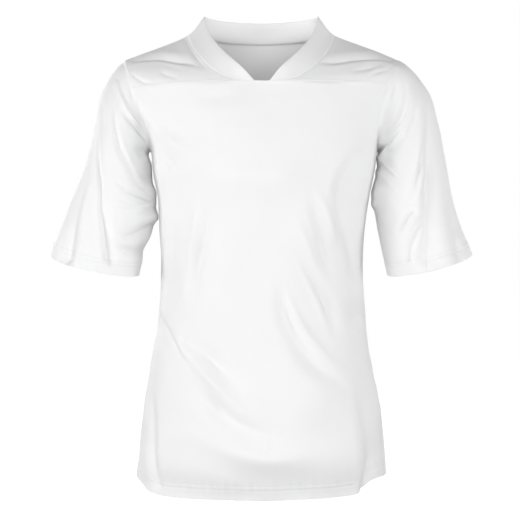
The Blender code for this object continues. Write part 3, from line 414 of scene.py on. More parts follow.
# ---------------------------------------------------------------- settings
class JerseyCloth(bpy.types.PropertyGroup):
    """Cloth of the jersey."""

    thickness: bpy.props.FloatProperty(
        name="Cloth thickness", description="Thickness of the knit", default=0.0010,
        unit="LENGTH", precision=4)
    band_thickness: bpy.props.FloatProperty(
        name="Band thickness", description="Thickness of the doubled collar band",
        default=0.0015, unit="LENGTH", precision=4)
    grid: bpy.props.FloatProperty(
        name="Grid", description="Spacing of the panels' rows and columns", default=0.0029,
        unit="LENGTH", precision=4)
    fine_grid: bpy.props.FloatProperty(
        name="Fine grid", description="Spacing of the sleeves' and the yoke's rows and columns",
        default=0.0020, unit="LENGTH", precision=4)
    crease: bpy.props.FloatProperty(
        name="Crease depth", description="Scale of all the creases", default=1.45, min=0.0,
        subtype="FACTOR")
    colour: bpy.props.FloatVectorProperty(
        name="Cloth colour", description="Colour of the knit", default=(0.90, 0.90, 0.905),
        size=3, subtype="COLOR")
    roughness: bpy.props.FloatProperty(
        name="Roughness", description="Dullness of the knit", default=0.6, min=0.0, max=1.0,
        subtype="FACTOR")
    glow: bpy.props.FloatProperty(
        name="Show-through", description="Share of the light that soaks into the thin knit",
        default=0.35, min=0.0, max=1.0, subtype="FACTOR")
    wale: bpy.props.FloatProperty(
        name="Wale", description="Width of one column of knit loops", default=0.0011,
        unit="LENGTH", precision=4)


class JerseySewing(bpy.types.PropertyGroup):
    """Thread and stitches."""

    stitch: bpy.props.FloatProperty(
        name="Stitch", description="Length of one stitch", default=0.0024, unit="LENGTH",
        precision=4)
    gap: bpy.props.FloatProperty(
        name="Stitch gap", description="Space between two stitches", default=0.0008,
        unit="LENGTH", precision=4)
    thread: bpy.props.FloatProperty(
        name="Thread", description="Thickness of the thread", default=0.0005, unit="LENGTH",
        precision=5)
    colour: bpy.props.FloatVectorProperty(
        name="Thread colour", description="Colour of the thread", default=(0.86, 0.86, 0.87),
        size=3, subtype="COLOR")


class JerseyStage(bpy.types.PropertyGroup):
    """Floor, light and camera."""

    floor_drop: bpy.props.FloatProperty(
        name="Floor drop", description="Space between the hem and the floor", default=0.12,
        unit="LENGTH")
    floor_colour: bpy.props.FloatVectorProperty(
        name="Floor colour", description="Colour of the floor", default=(0.4, 0.4, 0.4),
        size=3, subtype="COLOR")
    floor_glow: bpy.props.FloatProperty(
        name="Floor glow", description="Light of its own that keeps the floor pale",
        default=1.0, min=0.0)
    camera_distance: bpy.props.FloatProperty(
        name="Camera distance", description="From the jersey's middle to the camera",
        default=3.6, unit="LENGTH")
    view_width: bpy.props.FloatProperty(
        name="View width", description="Width that the camera sees at the jersey",
        default=0.7488, unit="LENGTH")
    view_centre: bpy.props.FloatVectorProperty(
        name="View centre", description="Point of the jersey that the camera faces",
        default=(-0.0029, 0.0, -0.3168), size=3, subtype="TRANSLATION")
    left_power: bpy.props.FloatProperty(
        name="Left light", description="Power of the large light at the left", default=44.0,
        subtype="POWER")
    right_power: bpy.props.FloatProperty(
        name="Right light", description="Power of the large light at the right", default=39.0,
        subtype="POWER")
    front_power: bpy.props.FloatProperty(
        name="Front light", description="Power of the wide light under the camera", default=53.0,
        subtype="POWER")
    back_power: bpy.props.FloatProperty(
        name="Back light", description="Power of the large light behind the jersey", default=34.0,
        subtype="POWER")
    neck_power: bpy.props.FloatProperty(
        name="Neck light", description="Power of the small light that opens up the neck",
        default=0.030, subtype="POWER")
    sky: bpy.props.FloatProperty(
        name="Sky", description="Strength of the light from all round", default=0.45, min=0.0)


# ---------------------------------------------------------------- small maths
def smooth(value):
    """Eased step from 0 to 1."""
    held = np.clip(value, 0.0, 1.0)
    return held * held * (3.0 - 2.0 * held)


def unit(vectors):
    """Vectors at length 1."""
    return vectors / np.linalg.norm(vectors, axis=-1, keepdims=True)


def bell(value):
    """Rounded hump of height 1 about 0."""
    return np.exp(-value * value)


def hermite(start, leave, end, arrive, share):
    """Cubic curve between two points with given end slopes."""
    share = np.asarray(share)[..., None]
    square = share * share
    cube = square * share
    return ((2 * cube - 3 * square + 1) * start + (cube - 2 * square + share) * leave
            + (3 * square - 2 * cube) * end + (cube - square) * arrive)


def read_curve(places, values, at):
    """Smooth curve through a table's values, run on in a straight line past its ends."""
    places = np.asarray(places, float)
    values = np.asarray(values, float)
    slopes = np.gradient(values, places, axis=0)
    at = np.asarray(at, float)
    held = np.clip(at, places[0], places[-1])
    row = np.clip(np.searchsorted(places, held) - 1, 0, len(places) - 2)
    span = places[row + 1] - places[row]
    share = (held - places[row]) / span
    if values.ndim == 1:
        curve = hermite(values[row][..., None], (slopes[row] * span)[..., None],
                        values[row + 1][..., None], (slopes[row + 1] * span)[..., None], share)[..., 0]
        return curve + (at - held) * np.where(at < held, slopes[0], slopes[-1])
    curve = hermite(values[row], slopes[row] * span[..., None],
                    values[row + 1], slopes[row + 1] * span[..., None], share)
    past = (at - held)[..., None]
    return curve + past * np.where(past < 0, slopes[0], slopes[-1])


def column(table, name):
    """One named column of a table."""
    return np.array([getattr(row, name) for row in table], float)


def table_value(table, name, height):
    """A table's named column, read at a height."""
    return read_curve(column(table, "height"), column(table, name), height)


def by_side(across, left, right):
    """A left or a right value, by the sign of the place across."""
    return np.where(across < 0, left, right)


def on_side(across, curve):
    """Points of the left or the right side's curve, by the sign of the place across."""
    return np.where((across < 0)[..., None], curve(LEFT), curve(RIGHT))


# ---------------------------------------------------------------- the body's form
def depth_at(face, height):
    """Depth of a face at its centre line."""
    return table_value(TORSO, face, height)


def armhole_climb(face, height):
    """Share of the armhole's height: 0 at the armpit and below it, 1 at the yoke seam."""
    top = FRONT_SEAM_CENTRE if face == "front" else BACK_SEAM_CENTRE
    return np.clip((height - ARMPIT_HEIGHT) / (top - ARMPIT_HEIGHT), 0.0, 1.0)


def edge_place(face, height):
    """Armhole edge on a round of size 1, forward and out: it runs up a round-bottomed U."""
    reach = FRONT_ARMHOLE_DEPTH if face == "front" else BACK_ARMHOLE_DEPTH
    turned = 1.0 - (1.0 - armhole_climb(face, height)) ** ARMHOLE_TURN
    forward = reach * turned ** ARMHOLE_SQUARENESS / depth_at(face, height)
    return forward, (1.0 - forward ** ROUNDNESS) ** (1.0 / ROUNDNESS)


def half_width(face, side, height):
    """Half width of the round at a height, filled out so that it meets the armhole's edge."""
    plain = table_value(TORSO, side, height)
    edge = table_value(ARMHOLE, side, height) / edge_place(face, height)[1]
    return plain + (edge - plain) * smooth(armhole_climb(face, height) / ARMPIT_EASE)


def edge_angle(face, side, height):
    """Angle from the face's centre line to its side seam or armhole edge."""
    swing = SEAM_SWING * smooth((SWING_TOP - height) / SWING_LENGTH) * (side == "left")
    seam = np.pi / 2 + (swing if face == "back" else -swing)
    forward, out = edge_place(face, height)
    return np.where(height > ARMPIT_HEIGHT, np.arctan2(out, forward), seam)


def hem_height(face, across):
    """Shirt-tail hem: nearly level in the middle, then a quick sweep up to the side."""
    reach = by_side(across, edge_angle(face, "left", HEM[0].left),
                    edge_angle(face, "right", HEM[0].right))
    share = np.abs(across) * reach / (np.pi / 2)
    share = np.where(share > 1.0, 2.0 - share, share)
    places = column(HEM, "share")
    return by_side(across, read_curve(places, column(HEM, "left"), share),
                   read_curve(places, column(HEM, "right"), share))


def seam_height(face, across):
    """Height of the yoke seam."""
    if face == "front":
        end = by_side(across, FRONT_SEAM_END[LEFT], FRONT_SEAM_END[RIGHT])
        return FRONT_SEAM_CENTRE + (end - FRONT_SEAM_CENTRE) * across ** 2
    return BACK_SEAM_CENTRE + (BACK_SEAM_END - BACK_SEAM_CENTRE) * across ** 2


def torso(face, across, up):
    """Point of a panel's form: across -1 to 1 between its edges, up 0 to 1 from hem to yoke."""
    across, up = np.broadcast_arrays(np.asarray(across, float), np.asarray(up, float))
    height = hem_height(face, across) * (1.0 - up) + seam_height(face, across) * up
    width = by_side(across, half_width(face, "left", height), half_width(face, "right", height))
    limit = by_side(across, edge_angle(face, "left", height), edge_angle(face, "right", height))
    angle = across * limit
    other = "back" if face == "front" else "front"
    depth = np.where(np.cos(angle) >= 0, depth_at(face, height), depth_at(other, height))
    radius = (np.abs(np.sin(angle)) ** ROUNDNESS
              + np.abs(np.cos(angle)) ** ROUNDNESS) ** (-1.0 / ROUNDNESS)
    forward = -1.0 if face == "front" else 1.0
    return np.stack([width * radius * np.sin(angle),
                     forward * depth * radius * np.cos(angle), height], axis=-1)


def torso_slope(face, across, up):
    """Directions along the panel: outwards to its nearer edge, and up."""
    out = torso(face, across + STEP, up) - torso(face, across - STEP, up)
    rise = torso(face, across, up + STEP) - torso(face, across, up - STEP)
    out = out * np.where(np.asarray(across) < 0, -1.0, 1.0)[..., None]
    return unit(out), unit(rise)


# ---------------------------------------------------------------- the yoke's form
def neck_curve(side, row, edge):
    """Neck seam or band edge at a row of the neck table, on one side."""
    points = np.stack([column(NECK, edge + axis) for axis in ("_x", "_y", "_z")], axis=-1)
    points = np.concatenate([points, points[-2::-1] * (-1.0, 1.0, 1.0)])
    foot_share = BAND_FOOT if edge == "seam" else NECK_GAP
    places = np.arange(len(points), dtype=float)
    curve = read_curve(places, points, row)
    curve = curve * (-side, 1.0, 1.0) + (NECK_CENTRE, 0.0, 0.0)
    foot = torso("front", side * foot_share, 1.0)
    start = points[0] * (-side, 1.0, 1.0) + (NECK_CENTRE, 0.0, 0.0)
    fade = np.clip(1.0 - np.asarray(row, float), 0.0, 1.0)[..., None]
    return curve + fade * (foot - start)


def shoulder_line(side, over):
    """Ridge of the shoulder: over 0 at the neck, 1 at the tip."""
    over = np.asarray(over, float)[..., None]
    neck = neck_curve(side, float(NECK_POINT), "seam")
    tip = np.array(SHOULDER_TIP[side])
    lift = (NECK_LIFT * (np.exp(-over / NECK_LIFT_REACH) - 1.0 + over)
            + SHOULDER_BOW[side] * 4.0 * over * (1.0 - over))
    return neck + over * (tip - neck) + lift * np.array([0.0, 0.0, 1.0])


def ridge_direction(side, over):
    """Direction of the shoulder line, away from the neck; beside the neck it stays as at its end."""
    held = np.maximum(over, 0.0)
    return unit(shoulder_line(side, held + STEP) - shoulder_line(side, held))


def yoke_front(side, over, rise):
    """Front of the yoke: rise 0 at the front seam, 1 on the shoulder line."""
    over, rise = np.broadcast_arrays(np.asarray(over, float), np.asarray(rise, float))

    def column_curve(at, share):
        across = side * (BAND_FOOT + (1.0 - BAND_FOOT) * at)
        foot = torso("front", across, 1.0)
        out, up = torso_slope("front", across, 1.0)
        lean = FRONT_LEAN * (1.0 - at[..., None]) ** 2
        lift = FRONT_LIFT_NECK + (FRONT_LIFT_TIP - FRONT_LIFT_NECK) * at[..., None]
        pull = RIDGE_PULL_NECK + (RIDGE_PULL_TIP - RIDGE_PULL_NECK) * at
        tilt = RIDGE_PULL_NECK * RIDGE_TILT * (1.0 - at) ** 2
        over_ridge = np.stack([0.0 * at, pull, tilt], axis=-1)
        return hermite(foot, lean * out + lift * up, shoulder_line(side, at), over_ridge, share)

    neckline = neck_curve(side, rise * NECK_POINT, "seam")
    shift = neckline - column_curve(np.zeros_like(rise), rise)
    return column_curve(over, rise) + shift * (np.clip(1.0 - over, 0.0, 1.0) ** 2)[..., None]


def yoke_back_columns(across, fall):
    """Back of the yoke as plain columns from the shoulder line and back neck to the seam."""
    share = np.abs(across)
    over = (share - BACK_NECK) / (1.0 - BACK_NECK)
    row = BACK_MIDDLE - (BACK_MIDDLE - NECK_POINT) * share / BACK_NECK
    ridge = on_side(across, lambda side: shoulder_line(side, over))
    neck = on_side(across, lambda side: neck_curve(side, row, "seam"))
    top = np.where((share >= BACK_NECK)[..., None], ridge, neck)
    middle = np.clip(1.0 - share / BACK_NECK, 0.0, 1.0)[..., None]
    near_neck = np.clip(1.0 - over, 0.0, 1.0)[..., None] ** 2
    along = on_side(across, lambda side: ridge_direction(side, over))
    pull = BACK_RIDGE_PULL + (NECK_POINT_PULL - BACK_RIDGE_PULL) * near_neck
    over_ridge = pull * np.array([0.0, 1.0, 0.0]) + pull * near_neck * np.array([0.0, 0.0, RIDGE_TILT])
    leave = over_ridge + NECK_POINT_FAN * near_neck * along
    leave = (1.0 - middle) * leave + middle * np.array(BACK_NECK_LEAVE)
    rise = torso_slope("back", across, 1.0)[1]
    arrive = -rise * (BACK_YOKE_PULL - BACK_YOKE_EASE * middle
                      + BACK_YOKE_ROUND * near_neck * (1.0 - middle))
    return hermite(top, leave, torso("back", across, 1.0), arrive, fall)


def yoke_back(across, fall):
    """Back of the yoke: fall 0 on the shoulder line and back neck, 1 at the back seam.

    Its columns are averaged with their neighbours, most of all half way down."""
    across, fall = np.broadcast_arrays(np.asarray(across, float), np.asarray(fall, float))
    held = np.clip(fall, 0.0, 1.0)
    spread = BACK_YOKE_SOFTEN * np.sqrt(4.0 * held * (1.0 - held))
    spread = spread * np.clip(1.0 - across ** 4, 0.0, 1.0)
    total = 0.0
    for shift, weight in SOFTEN_WEIGHTS:
        total = total + weight * yoke_back_columns(across + shift * spread, fall)
    return total


def surface_normal(surface, first, second):
    """Unit normal of a surface, by small steps."""
    by_first = surface(first + STEP, second) - surface(first - STEP, second)
    by_second = surface(first, second + STEP) - surface(first, second - STEP)
    return unit(np.cross(by_first, by_second))


# ---------------------------------------------------------------- creases
def between(values, share):
    """Eased run through a start, a middle and an end value."""
    start, middle, end = values
    return (start + (middle - start) * smooth(2.0 * share)
            + (end - middle) * smooth(2.0 * share - 1.0))


def from_crease(crease, spots):
    """Signed distance of spots from a crease's line, and the share of the line there."""
    line = np.array(crease.line, float)
    walked = run_lengths(line, 0)
    line = read_curve(walked / walked[-1], line, np.linspace(0.0, 1.0, CREASE_STEPS + 1))
    start = line[:-1]
    run = np.diff(line, axis=0)
    reach = np.einsum("sa,sa->s", run, run)
    gap = spots[:, None] - start
    share = np.clip(np.einsum("nsa,sa->ns", gap, run) / reach, 0.0, 1.0)
    gap = gap - share[..., None] * run
    distance = np.linalg.norm(gap, axis=-1)
    nearest = np.argmin(distance, axis=1)
    row = np.arange(len(spots))
    gap = gap[row, nearest]
    turn = gap[:, 1] * run[nearest, 0] - gap[:, 0] * run[nearest, 1]
    return (distance[row, nearest] * np.where(turn < 0, -1.0, 1.0),
            (nearest + share[row, nearest]) / CREASE_STEPS)


def crease_height(creases, points, scale):
    """Height of creases above the plain form, for lines drawn in the front view."""
    spots = points[..., (0, 2)].reshape(-1, 2)
    total = np.zeros(len(spots))
    for beat, crease in enumerate(creases):
        line = np.array(crease.line, float)
        margin = CREASE_REACH * max(crease.breadths)
        inside = (spots > line.min(axis=0) - margin) & (spots < line.max(axis=0) + margin)
        near = np.flatnonzero(inside.all(axis=1))
        if not len(near):
            continue
        aside, share = from_crease(crease, spots[near])
        breadth = crease.breadths[0] + (crease.breadths[1] - crease.breadths[0]) * share
        away = np.abs(aside) / (breadth * (1.0 + crease.lean * np.sign(aside)))
        sharp = np.exp(-CRISP_PULL * (np.sqrt(away ** 2 + CRISP_ROUND ** 2) - CRISP_ROUND))
        profile = bell(away) + crease.crisp * (sharp - bell(away))
        profile = profile - LIP_SHARE * bell((away - LIP_PLACE) / LIP_BREADTH)
        uneven = 1.0 + CREASE_UNEVEN * np.sin(2 * np.pi * CREASE_BEATS * share + beat)
        total[near] += scale * between(crease.depths, share) * uneven * profile
    return total.reshape(points.shape[:-1])


def wave_height(points, scale):
    """Slow unevenness of the cloth."""
    total = np.zeros(points.shape[:-1])
    for wave in WAVES:
        phase = points[..., 0] / wave.length_x + points[..., 2] / wave.length_z
        total += scale * wave.height * np.sin(2 * np.pi * phase + wave.start)
    return total


# ---------------------------------------------------------------- seams as lines
def points_at(at, walked, points):
    """Points at given distances along a line, whose own points lie at the walked ones."""
    return np.stack([np.interp(at, walked, points[:, axis]) for axis in range(3)], axis=-1)


def even_line(points):
    """The same line with points at even spacing."""
    walked = run_lengths(points, 0)
    count = int(walked[-1] / LINE_STEP) + 2
    return points_at(np.linspace(0.0, walked[-1], count), walked, points)


def from_line(points, line):
    """Distance of points from a line, and the place of the nearest point along it."""
    tree = kdtree.KDTree(len(line))
    for place, point in enumerate(line):
        tree.insert(point, place)
    tree.balance()
    flat = points.reshape(-1, 3)
    away = np.empty(len(flat))
    along = np.empty(len(flat))
    for place, point in enumerate(flat):
        _, nearest, distance = tree.find(point)
        away[place] = distance
        along[place] = nearest * LINE_STEP
    return away.reshape(points.shape[:-1]), along.reshape(points.shape[:-1])


def ripple(waves, along):
    """Uneven ripple along a line: a sum of waves of given length, height and start."""
    total = np.zeros_like(along)
    for length, height, start in waves:
        total += height * np.sin(2 * np.pi * along / length + start)
    return total


def seam_relief(away, along, gathers=0.0):
    """Relief beside a seam: pressed in, lifted over its allowance, and softly gathered."""
    groove = -SEAM_GROOVE * bell(away / SEAM_GROOVE_REACH)
    lift = ALLOWANCE_LIFT * smooth((ALLOWANCE_WIDTH - away) / ALLOWANCE_EDGE)
    gather = gathers * ripple(GATHERS, along) * bell(away / GATHER_REACH)
    return groove + lift + gather * smooth(away / ALLOWANCE_WIDTH)


def seams_relief(points, seams):
    """Relief of several seams, given as lines with their gathers, and the ease beside them."""
    relief = np.zeros(points.shape[:-1])
    ease = np.ones(points.shape[:-1])
    for line, gathers in seams:
        away, along = from_line(points, line)
        relief += seam_relief(away, along, gathers)
        ease *= smooth(away / SEAM_EASE)
    return relief, ease


def hem_relief(points, line, depth):
    """Relief of a turned hem: double cloth, two rows of stitches, and puckers."""
    away, along = from_line(points, line)
    lift = HEM_LIFT * smooth((depth + ALLOWANCE_EDGE - away) / ALLOWANCE_EDGE)
    stitches = bell((away - depth) / HEM_GROOVE_REACH)
    stitches = stitches + bell((away - depth + NEEDLE_GAP) / HEM_GROOVE_REACH)
    pucker = ripple(PUCKERS, along) * bell((away - depth) / PUCKER_REACH)
    return lift - HEM_GROOVE * stitches + pucker


# ---------------------------------------------------------------- laying out sheets
def spaced(lengths, start_rows, end_rows, step):
    """Distances along lines of given lengths: set rows at both ends and even rows between."""
    lengths = np.atleast_1d(np.asarray(lengths, float))
    first = np.array(start_rows)[:, None]
    last = np.array(end_rows)[::-1, None]
    count = max(2, int(round((lengths.max() - first[-1, 0] - last[0, 0]) / step)) + 1)
    share = np.linspace(0.0, 1.0, count)[:, None]
    middle = first[-1] + (lengths - last[0] - first[-1]) * share
    return np.concatenate([first[:-1] + 0.0 * lengths, middle, lengths - last[1:]])


def run_lengths(points, axis):
    """Distance walked along an axis of a grid of points."""
    steps = np.linalg.norm(np.diff(points, axis=axis), axis=-1)
    zero = np.zeros_like(np.take(steps, [0], axis=axis))
    return np.concatenate([zero, np.cumsum(steps, axis=axis)], axis=axis)


def places_at(surface_line, low, high, start_rows, end_rows, step, samples=600):
    """Places between two limits at spaced distances along a line of a surface."""
    places = np.linspace(low, high, samples)
    walked = run_lengths(surface_line(places), 0)
    wanted = spaced(walked[-1], start_rows, end_rows, step)[:, 0]
    return np.interp(wanted, walked, places)


Sheet = namedtuple("Sheet", "points flip")


def add_sheet(mesh, sheet, uv_layer):
    """Lay a grid of quads on a sheet's points, with its cloth coordinates in metres."""
    rows, columns = sheet.points.shape[:2]
    made = bmesh.ops.create_grid(mesh, x_segments=columns - 1, y_segments=rows - 1, size=1.0)
    aside = run_lengths(sheet.points, 1)
    aside = (aside - aside.mean(axis=1, keepdims=True)) * MM
    up = run_lengths(sheet.points, 0) * MM
    place = mesh.verts.layers.int["place"]
    for vert in made["verts"]:
        row = round((vert.co.y + 1.0) / 2.0 * (rows - 1))
        across = round((vert.co.x + 1.0) / 2.0 * (columns - 1))
        vert[place] = row * columns + across
        vert.co = sheet.points[row, across] * MM
    faces = list({face for vert in made["verts"] for face in vert.link_faces})
    aside = aside.reshape(-1)
    up = up.reshape(-1)
    for face in faces:
        for loop in face.loops:
            spot = loop.vert[place]
            loop[uv_layer].uv = (aside[spot], up[spot])
    if sheet.flip < 0:
        bmesh.ops.reverse_faces(mesh, faces=faces)


def finish_mesh(name, mesh, material):
    """Turn a bmesh into a smooth-shaded object at the origin."""
    data = bpy.data.meshes.new(name)
    mesh.to_mesh(data)
    mesh.free()
    data.shade_smooth()
    data.materials.append(material)
    piece = bpy.data.objects.new(name, data)
    bpy.context.scene.collection.objects.link(piece)
    return piece


def joined_sheets(sheets):
    """A mesh of sheets, joined along the lines that they share."""
    mesh = bmesh.new()
    mesh.verts.layers.int.new("place")
    uv_layer = mesh.loops.layers.uv.new("Cloth")
    for sheet in sheets:
        add_sheet(mesh, sheet, uv_layer)
    bmesh.ops.remove_doubles(mesh, verts=mesh.verts[:], dist=MERGE)
    return mesh


def cloth_piece(name, sheets, cloth):
    """One sewn piece of body knit: its sheets, given the cloth's thickness."""
    piece = finish_mesh(name, joined_sheets(sheets), knit("body_knit", cloth))
    solid = piece.modifiers.new("Thickness", "SOLIDIFY")
    solid.thickness = cloth.thickness
    solid.offset = -1.0
    return piece


def thread_curve(name, sewing):
    """A curve that holds threads as round strands with closed ends."""
    curve = bpy.data.curves.new(name, "CURVE")
    curve.dimensions = "3D"
    curve.bevel_depth = sewing.thread / 2
    curve.bevel_resolution = 1
    curve.use_fill_caps = True
    return curve


def add_thread(curve, places):
    """One strand through a few points."""
    spline = curve.splines.new("POLY")
    spline.points.add(len(places) - 1)
    for knot, place in zip(spline.points, places):
        knot.co = (*place, 1.0)


def thread_piece(name, curve, sewing):
    """Turn a curve of threads into a mesh object."""
    threads = bpy.data.objects.new(name, curve)
    bpy.context.scene.collection.objects.link(threads)
    bpy.context.view_layer.update()
    graph = bpy.context.evaluated_depsgraph_get()
    data = bpy.data.meshes.new_from_object(threads.evaluated_get(graph))
    bpy.data.objects.remove(threads)
    data.materials.clear()
    data.materials.append(thread(sewing))
    data.shade_smooth()
    piece = bpy.data.objects.new(name, data)
    bpy.context.scene.collection.objects.link(piece)
    return piece


def sew_rows(name, lines, sewing):
    """Rows of separate stitches along lines of points and normals, in metres."""
    curve = thread_curve(name, sewing)
    pitch = sewing.stitch + sewing.gap
    rise = sewing.thread * STITCH_RISE[:, None]
    for points, normals in lines:
        walked = run_lengths(points, 0)
        for start in np.arange(sewing.gap, walked[-1] - sewing.stitch, pitch):
            at = start + sewing.stitch * STITCH_PLACES
            add_thread(curve, points_at(at, walked, points) + points_at(at, walked, normals) * rise)
    return thread_piece(name, curve, sewing)


def overlock(name, low, high, normals, sewing):
    """Slanting loops of thread that bind an edge, between two lines of points in metres."""
    walked = run_lengths(low, 0)
    at = np.arange(sewing.gap, walked[-1] - sewing.stitch, sewing.stitch / 2)
    lift = normals * sewing.thread / 2
    starts = points_at(at, walked, low + lift)
    ends = points_at(at + sewing.stitch / 2, walked, high + lift)
    curve = thread_curve(name, sewing)
    for start, end in zip(starts, ends):
        add_thread(curve, (start, end))
    return thread_piece(name, curve, sewing)


def grid_normals(points, flip):
    """Normals of a grid of points."""
    aside = np.gradient(points, axis=1)
    up = np.gradient(points, axis=0)
    return unit(np.cross(aside, up)) * flip


def needle_lines(sheet, rows):
    """Rows of a sheet as lines to sew along: their points in metres, and their normals."""
    normals = grid_normals(sheet.points, sheet.flip)
    return [(sheet.points[row] * MM, normals[row]) for row in rows]


# ---------------------------------------------------------------- materials
SHEEN_ROUGHNESS = 0.4
SPECULAR_LEVEL = 0.35
KNIT_SHEEN = 0.15
GLOW_DEPTH = 2.0        # light soaks in over so many thicknesses of the cloth
LEAN_TURNS = 1.35       # how often a column of loops leans, for each wale of height
LEAN_SWING = 0.315      # and how far, in radians of the column's wave
COURSE_TURNS = 0.675    # waves of the courses for each wale of height, two courses in a wave
COLUMN_SHARE = 0.7      # share of the columns in the loops' relief; the courses have the rest
MOTTLE_SCALE = 160.0    # fine unevenness of the relief
MOTTLE_DETAIL = 3.0
MOTTLE_HEIGHT = 0.6
LOOP_STRENGTH = 0.22
LOOP_HEIGHT = 0.0004
CLOUD_SCALE = 9.0       # broad unevenness of the colour
CLOUD_DETAIL = 2.0
# The loops' share of the colour is painted shade: the hollows between the loops are coloured darker.
CLOUD_SHARE = 0.7       # its share in the colour; the loops have the rest
KNIT_SHADES = (0.97, 1.02)      # darkest and lightest shade of the knit's colour
THREAD_ROUGHNESS = 0.45
THREAD_SHEEN = 0.1
TWIST_SCALE = 900.0     # unevenness of the thread's colour
TWIST_DETAIL = 1.0
THREAD_SHADES = (0.92, 1.0)
MIX_COLOURS = (6, 7)    # the Mix node's two colour inputs
MIX_RESULT = 2          # and its colour output


class Socket:
    """A shader socket that takes part in sums."""

    def __init__(self, tree, socket):
        self.tree = tree
        self.socket = socket

    def node(self, kind, values=(), output=0, **settings):
        """Add any node: its settings first, then the values or links of its sockets."""
        made = self.tree.nodes.new(kind)
        for key, value in settings.items():
            setattr(made, key, value)
        for key, value in dict(values).items():
            if isinstance(value, Socket):
                self.tree.links.new(value.socket, made.inputs[key])
            else:
                made.inputs[key].default_value = value
        return Socket(self.tree, made.outputs[output])

    def math(self, operation, first, second=0.0):
        """One Math node."""
        return self.node("ShaderNodeMath", {0: first, 1: second}, operation=operation)

    def __add__(self, other):
        return self.math("ADD", self, other)

    def __radd__(self, other):
        return self.math("ADD", other, self)

    def __sub__(self, other):
        return self.math("SUBTRACT", self, other)

    def __rsub__(self, other):
        return self.math("SUBTRACT", other, self)

    def __mul__(self, other):
        return self.math("MULTIPLY", self, other)

    def __rmul__(self, other):
        return self.math("MULTIPLY", other, self)

    def sine(self):
        """Sine of the value."""
        return self.math("SINE", self)

    def absolute(self):
        """The value without its sign."""
        return self.math("ABSOLUTE", self)

    def tint(self, colour, shades):
        """A darker and a lighter shade of a colour, mixed by the value."""
        values = {"Factor": self}
        for place, share in zip(MIX_COLOURS, shades):
            values[place] = tuple(min(1.0, channel * share) for channel in colour) + (1.0,)
        return self.node("ShaderNodeMix", values, output=MIX_RESULT, data_type="RGBA")

    def into(self, shader, name):
        """Link the value into an input of a shader."""
        self.tree.links.new(self.socket, shader.inputs[name])


def new_material(name, roughness, sheen):
    """A material, its shader and a socket to start expressions from."""
    material = bpy.data.materials.new(name)
    material.use_nodes = True
    tree = material.node_tree
    shader = tree.nodes["Principled BSDF"]
    shader.inputs["Roughness"].default_value = roughness
    shader.inputs["Sheen Weight"].default_value = sheen
    shader.inputs["Sheen Roughness"].default_value = SHEEN_ROUGHNESS
    shader.inputs["Specular IOR Level"].default_value = SPECULAR_LEVEL
    return material, shader, Socket(tree, None)


def add_noise(start, scale, detail):
    """Soft noise that is fixed to the cloth."""
    place = start.node("ShaderNodeTexCoord", output="Object")
    return start.node("ShaderNodeTexNoise", {"Vector": place, "Scale": scale, "Detail": detail})


def knit_material(name, cloth):
    """White interlock knit: fine columns of loops with painted shade in their hollows, a little unevenness
    and a soft sheen.
    """
    material, shader, start = new_material(name, cloth.roughness, KNIT_SHEEN)
    shader.inputs["Subsurface Weight"].default_value = cloth.glow
    shader.inputs["Subsurface Radius"].default_value = (1.0, 1.0, 1.0)
    shader.inputs["Subsurface Scale"].default_value = cloth.thickness * GLOW_DEPTH
    coords = start.node("ShaderNodeUVMap", output="UV", uv_map="Cloth")
    aside = start.node("ShaderNodeSeparateXYZ", {0: coords}, output="X")
    up = start.node("ShaderNodeSeparateXYZ", {0: coords}, output="Y")
    turn = 2 * np.pi / cloth.wale
    lean = (up * (turn * LEAN_TURNS)).sine() * LEAN_SWING
    columns = (aside * (turn / 2) + lean).sine().absolute()
    courses = (up * (turn * COURSE_TURNS)).sine().absolute()
    loops = columns * COLUMN_SHARE + courses * (1.0 - COLUMN_SHARE)
    height = loops + add_noise(start, MOTTLE_SCALE, MOTTLE_DETAIL) * MOTTLE_HEIGHT
    relief = {"Height": height, "Strength": LOOP_STRENGTH, "Distance": LOOP_HEIGHT}
    start.node("ShaderNodeBump", relief).into(shader, "Normal")
    cloud = add_noise(start, CLOUD_SCALE, CLOUD_DETAIL)
    # The colour mixes broad random unevenness with painted shade that darkens the hollows between the
    # loops.
    shade = cloud * CLOUD_SHARE + loops * (1.0 - CLOUD_SHARE)
    shade.tint(cloth.colour, KNIT_SHADES).into(shader, "Base Color")
    return material


def thread_material(sewing):
    """Bright polyester thread."""
    material, shader, start = new_material("thread", THREAD_ROUGHNESS, THREAD_SHEEN)
    twist = add_noise(start, TWIST_SCALE, TWIST_DETAIL)
    twist.tint(sewing.colour, THREAD_SHADES).into(shader, "Base Color")
    return material


def knit(name, cloth):
    """A knit by its name, made the first time that it is asked for."""
    return bpy.data.materials.get(name) or knit_material(name, cloth)


def thread(sewing):
    """The thread of all the stitches, made the first time that it is asked for."""
    return bpy.data.materials.get("thread") or thread_material(sewing)


# ---------------------------------------------------------------- seams that pieces share
ALONG = np.linspace(-1.0, 1.0, 700)     # samples from side to side of a panel
UPWARDS = np.linspace(0.0, 1.0, 500)    # samples from its hem to the yoke seam
NECK_SAMPLES = 300                      # round half of the neck
ARMHOLE_SAMPLES = 160                   # on each of the four parts of an armhole
ARMPIT_CROWDING = 1.5                   # more than 1 sets them closer towards the armpit


def hem_line(face):
    """Hem of one panel."""
    return even_line(torso(face, ALONG, 0.0))


def edge_line(face, side):
    """Side seam and armhole edge of one panel."""
    return even_line(torso(face, side, UPWARDS))


def yoke_seam_line(face):
    """Seam between a panel and the yoke."""
    return even_line(torso(face, ALONG, 1.0))


def neck_line():
    """The whole neck seam, from the left foot of the V round to the right one."""
    half = np.linspace(0.0, BACK_MIDDLE, NECK_SAMPLES)
    left, right = (neck_curve(side, half, "seam") for side in (LEFT, RIGHT))
    return even_line(np.concatenate([left, right[-2::-1]]))


